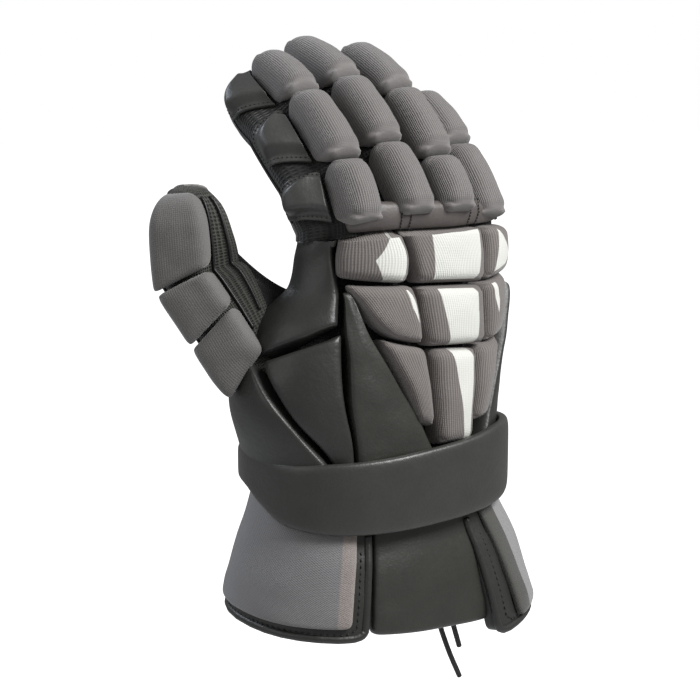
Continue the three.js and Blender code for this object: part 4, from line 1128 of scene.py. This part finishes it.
def make_cuff(leather, olive, twills, thread):
    flap = {
        "grid": (44, 22, 5), "roll": (3.5, 3.5, 3.5), "outline": 5, "corner": 0.02, "seat": GAP,
        "seam": 0.25, "tuck": CUFF_TUCK,
    }
    shapes = {"left": None, "right": flared}
    stitches = new_shape()
    rims = new_shape()
    for side, rows, turned in (("left", CUFF_LEFT_ROWS, 1), ("right", CUFF_RIGHT_ROWS, -1)):
        shape = shapes[side]
        bm, spot = surface_cushion(cuff_surface, rows, CUFF_PANEL, dict(flap, shape=shape))
        nodes = [f"cuff_{side}_flap"]
        finish_piece(f"padded_cuff_{side}_flap", bm, leather, nodes)
        seam = line_between(spot, FLAP_SEAMS[side], CUFF_PANEL + 0.1, 24, shape)
        add_stitches(stitches, seam, 3.2, 2.1, 0.8)
        edge = [(turned * p, q) for p, q in FLAP_RIM]
        line = line_between(spot, edge, CUFF_PANEL - 1.2, 12, shape)
        add_cord(rims, [a for a, b in zip(line, line[1:]) if (b - a).length > POINTS_APART], RIM, 12)
    finish_piece("stitches_on_cuff", stitches, thread, [], levels=0)
    finish_piece("rims_of_cuff", rims, leather, [], levels=0, closed=True)
    centre = dict(flap, grid=(20, 22, 4), roll=(3, 3, 3))
    bm, _ = surface_cushion(cuff_surface, CUFF_CENTRE_ROWS, CUFF_CENTRE, centre)
    finish_piece("padded_cuff_centre", bm, olive, ["cuff_centre_panel"])
    face = {
        "grid": (30, 20, 3), "roll": (1.6, 1.6, 1.6), "outline": 3, "corner": 0.02,
        "seat": CUFF_PANEL + GAP, "tuck": FACE_TUCK,
    }
    for side, rows, twill in (("left", FACE_LEFT_ROWS, twills[0]), ("right", FACE_RIGHT_ROWS, twills[1])):
        bm, _ = surface_cushion(cuff_surface, rows, CUFF_FACE, dict(face, shape=shapes[side]))
        nodes = [f"cuff_{side}_face"]
        finish_piece(f"textile_cuff_{side}_face", bm, twill, nodes)


def palm_edges(name):
    """Turns at which the palm's leather meets the mesh on the two sides of a stall."""
    return PALM_EDGE, 2 - (INDEX_PALM_EDGE if name == "index" else PALM_EDGE)


def make_piping(thread):
    """Thin corded edges along the thumb and along the palm's leather on the fingers."""
    lines = [(THUMB, turn, start) for turn, start in THUMB_PIPING]
    for name, stall in STALLS.items():
        lines += [(stall, turn, FINGER_PIPING_START) for turn in palm_edges(name)]
    steps = 28
    bm = new_shape()
    for stall, turn, start in lines:
        end = stall.count - 0.06
        places = [lerp(start, end, i / steps) for i in range(steps + 1)]
        add_cord(bm, [lifted(stall.surface, turn, place, 0.5) for place in places], PIPING, 8)
    finish_piece("piping_of_leather", bm, thread, [], levels=0, closed=True)


def make_liner(mesh_knit, thumb_knit, palm_leather):
    bm = new_shape()
    add_hand_side(bm, True)
    finish_piece("liner_hand_back", bm, mesh_knit, ["hand_back"], levels=0, wall=LINER_WALL)
    skins = [(name, stall, mesh_knit, 40, 80) for name, stall in STALLS.items()]
    for name, stall, knit, columns, circumference in (*skins, ("thumb", THUMB, thumb_knit, 44, 90)):
        bm = new_shape()
        add_stall_skin(bm, stall, -0.2, (-1, 1), 0, columns, circumference)
        nodes = [f"{name}_gusset"]
        finish_piece(f"gusset_{name}", bm, knit, nodes, wall=SKIN_WALL, closed=True, levels=0)
    bm = new_shape()
    add_hand_side(bm, False)
    for name, stall in STALLS.items():
        add_stall_skin(bm, stall, -0.1, palm_edges(name), PALM_LIFT, 16, 30)
    add_stall_skin(bm, THUMB, 0.3, palm_edges("thumb"), PALM_LIFT, 16, 34)
    bmesh.ops.recalc_face_normals(bm, faces=bm.faces)
    finish_piece("palm_of_leather", bm, palm_leather, ["palm"], levels=0, wall=SKIN_WALL)


def make_web(mesh_knit):
    sag = 3
    bm = new_shape()
    for vert in add_sheet(bm, 20, 20, (20, 25)):
        s, t, _ = vert.co
        across, up = (s + 1) / 2, (t + 1) / 2
        turn, low, high = WEB_ON_THUMB
        thumb_end = lifted(THUMB.surface, turn, lerp(low, high, up), -0.8)
        turn, low, high = WEB_ON_HAND
        point = thumb_end.lerp(lifted(hand_surface, turn, lerp(low, high, up), -0.6), across)
        point.z -= sag * up * math.sin(math.pi * across)
        vert.co = point
    finish_piece("web_at_thumb", bm, mesh_knit, ["thumb_web"], wall=WEB_WALL)


# Studio


def add_light(name, turn, rise, distance, size, power, colour):
    """A soft square light that faces the glove."""
    back = bearing(turn, rise)
    data = bpy.data.lights.new(name, "AREA")
    data.shape = "SQUARE"
    data.size = size
    data.energy = power
    data.color = srgb(colour)[:3]
    light = bpy.data.objects.new(name, data)
    light.rotation_mode = "QUATERNION"
    light.rotation_quaternion = back.to_track_quat("Z", "Y")
    light.location = back * distance + Vector((0, 0, LIGHT_AIM))
    bpy.context.scene.collection.objects.link(light)


def make_studio():
    """A pale floor well below the glove, white all round, and soft lights."""
    scene = bpy.context.scene
    scene.view_settings.view_transform = "Standard"
    world = bpy.data.worlds.new("studio")
    world.use_nodes = True
    tree = world.node_tree
    tree.nodes["Background"].inputs["Color"].default_value = (1, 1, 1, 1)
    seen = add_node(tree, "ShaderNodeLightPath").outputs["Is Camera Ray"]
    strength = math_node(tree, "MULTIPLY_ADD", seen, 1 - AMBIENT, AMBIENT)
    tree.links.new(strength, tree.nodes["Background"].inputs["Strength"])
    scene.world = world
    bm = bmesh.new()
    bmesh.ops.create_grid(bm, x_segments=1, y_segments=1, size=FLOOR_SIZE)
    bmesh.ops.translate(bm, verts=bm.verts, vec=(0, 0, FLOOR_LEVEL))
    mesh = bpy.data.meshes.new("floor")
    bm.to_mesh(mesh)
    bm.free()
    floor = bpy.data.objects.new("floor", mesh)
    scene.collection.objects.link(floor)
    material, tree, shader = new_material("matt_white_paint")
    shade = object_noise(tree, 2.0)
    coated(tree, shader, mixed(tree, shade, srgb("f0f0f0"), srgb("f4f4f4")), 0.9)
    shader.inputs["Emission Color"].default_value = (1, 1, 1, 1)
    seen = add_node(tree, "ShaderNodeLightPath").outputs["Is Camera Ray"]
    tree.links.new(seen, shader.inputs["Emission Strength"])
    mesh.materials.append(material)
    for name, values in LIGHTS.items():
        add_light(name, *values)


make_camera()
make_laces(braid("braided_polyester"))
make_eyelets(bonded_thread("black_enamel_eyelet", "1b1b1b"))
# In each rib knit the second, darker colour is the painted shade of the rib valleys, also worked in as random
# mottle.
finger_knit = ribbed_knit("rib_knit_fingers", "6e6a69", "3e3c3c", 1.35, 0.22, smooth_end=0.35)
tip_knit = ribbed_knit("rib_knit_tips", "6e6b6a", "403e3e", 1.35, 0.2, smooth_end=0.3)
thumb_pad_knit = ribbed_knit("rib_knit_thumb", "585756", "464544", 1.2, 0.07)
back_knits = {
    name: ribbed_knit(f"rib_knit_back_{name}", "6f6764", "3a3634", 1.2, 0.16, ink=BACK_PRINTS.get(name))
    for name in BACK_PADS
}
smooth = satin_leather("satin_leather_black", "272827", "31322e")
olive = satin_leather("satin_leather_olive", "2c2d29", "363732", 0.4)
knuckle = satin_leather("satin_leather_taupe", "5f5957", "4a4543", 0.5)
strap_skin = satin_leather("satin_leather_strap", "323330", "3d3e3a", 0.4)
palm_skin = perforated_leather("perforated_palm_leather", "6f6d6b", 2.6)
black_knit = spacer_mesh("black_spacer_mesh", "161714", "030303", 1.7)
left_strip = (((0.87, -1.2), (1.2, -1.2), (1.2, 1.2), (0.84, 1.2)), "6b6360", "9c948f")
right_strip = (((-1.2, -1.2), (-0.7, -1.2), (-0.62, 1.2), (-1.2, 1.2)), "20201d", "4c4b46")
left_twill = cuff_twill("grey_cuff_twill_left", "737376", "868483", left_strip)
right_twill = cuff_twill("grey_cuff_twill_right", "88888b", "9c9b9a", right_strip)
thumb_mesh = spacer_mesh("olive_thumb_mesh", "40413b", "141512", 1.3)
black_thread = bonded_thread("black_bonded_thread", "141414")
make_liner(black_knit, thumb_mesh, palm_skin)
make_web(spacer_mesh("dark_web_mesh", "0c0c0b", "020202", 1.5))
make_finger_pads(finger_knit, tip_knit)
make_thumb_pads(thumb_pad_knit)
make_back_pads(back_knits)
make_panels(smooth, olive)
make_knuckle_band(knuckle, black_thread)
make_index_guards(satin_leather("satin_leather_guards", "363736", "42423f"), black_thread)
make_strap(strap_skin)
make_cuff(smooth, olive, (left_twill, right_twill), black_thread)
make_piping(black_thread)
make_studio()
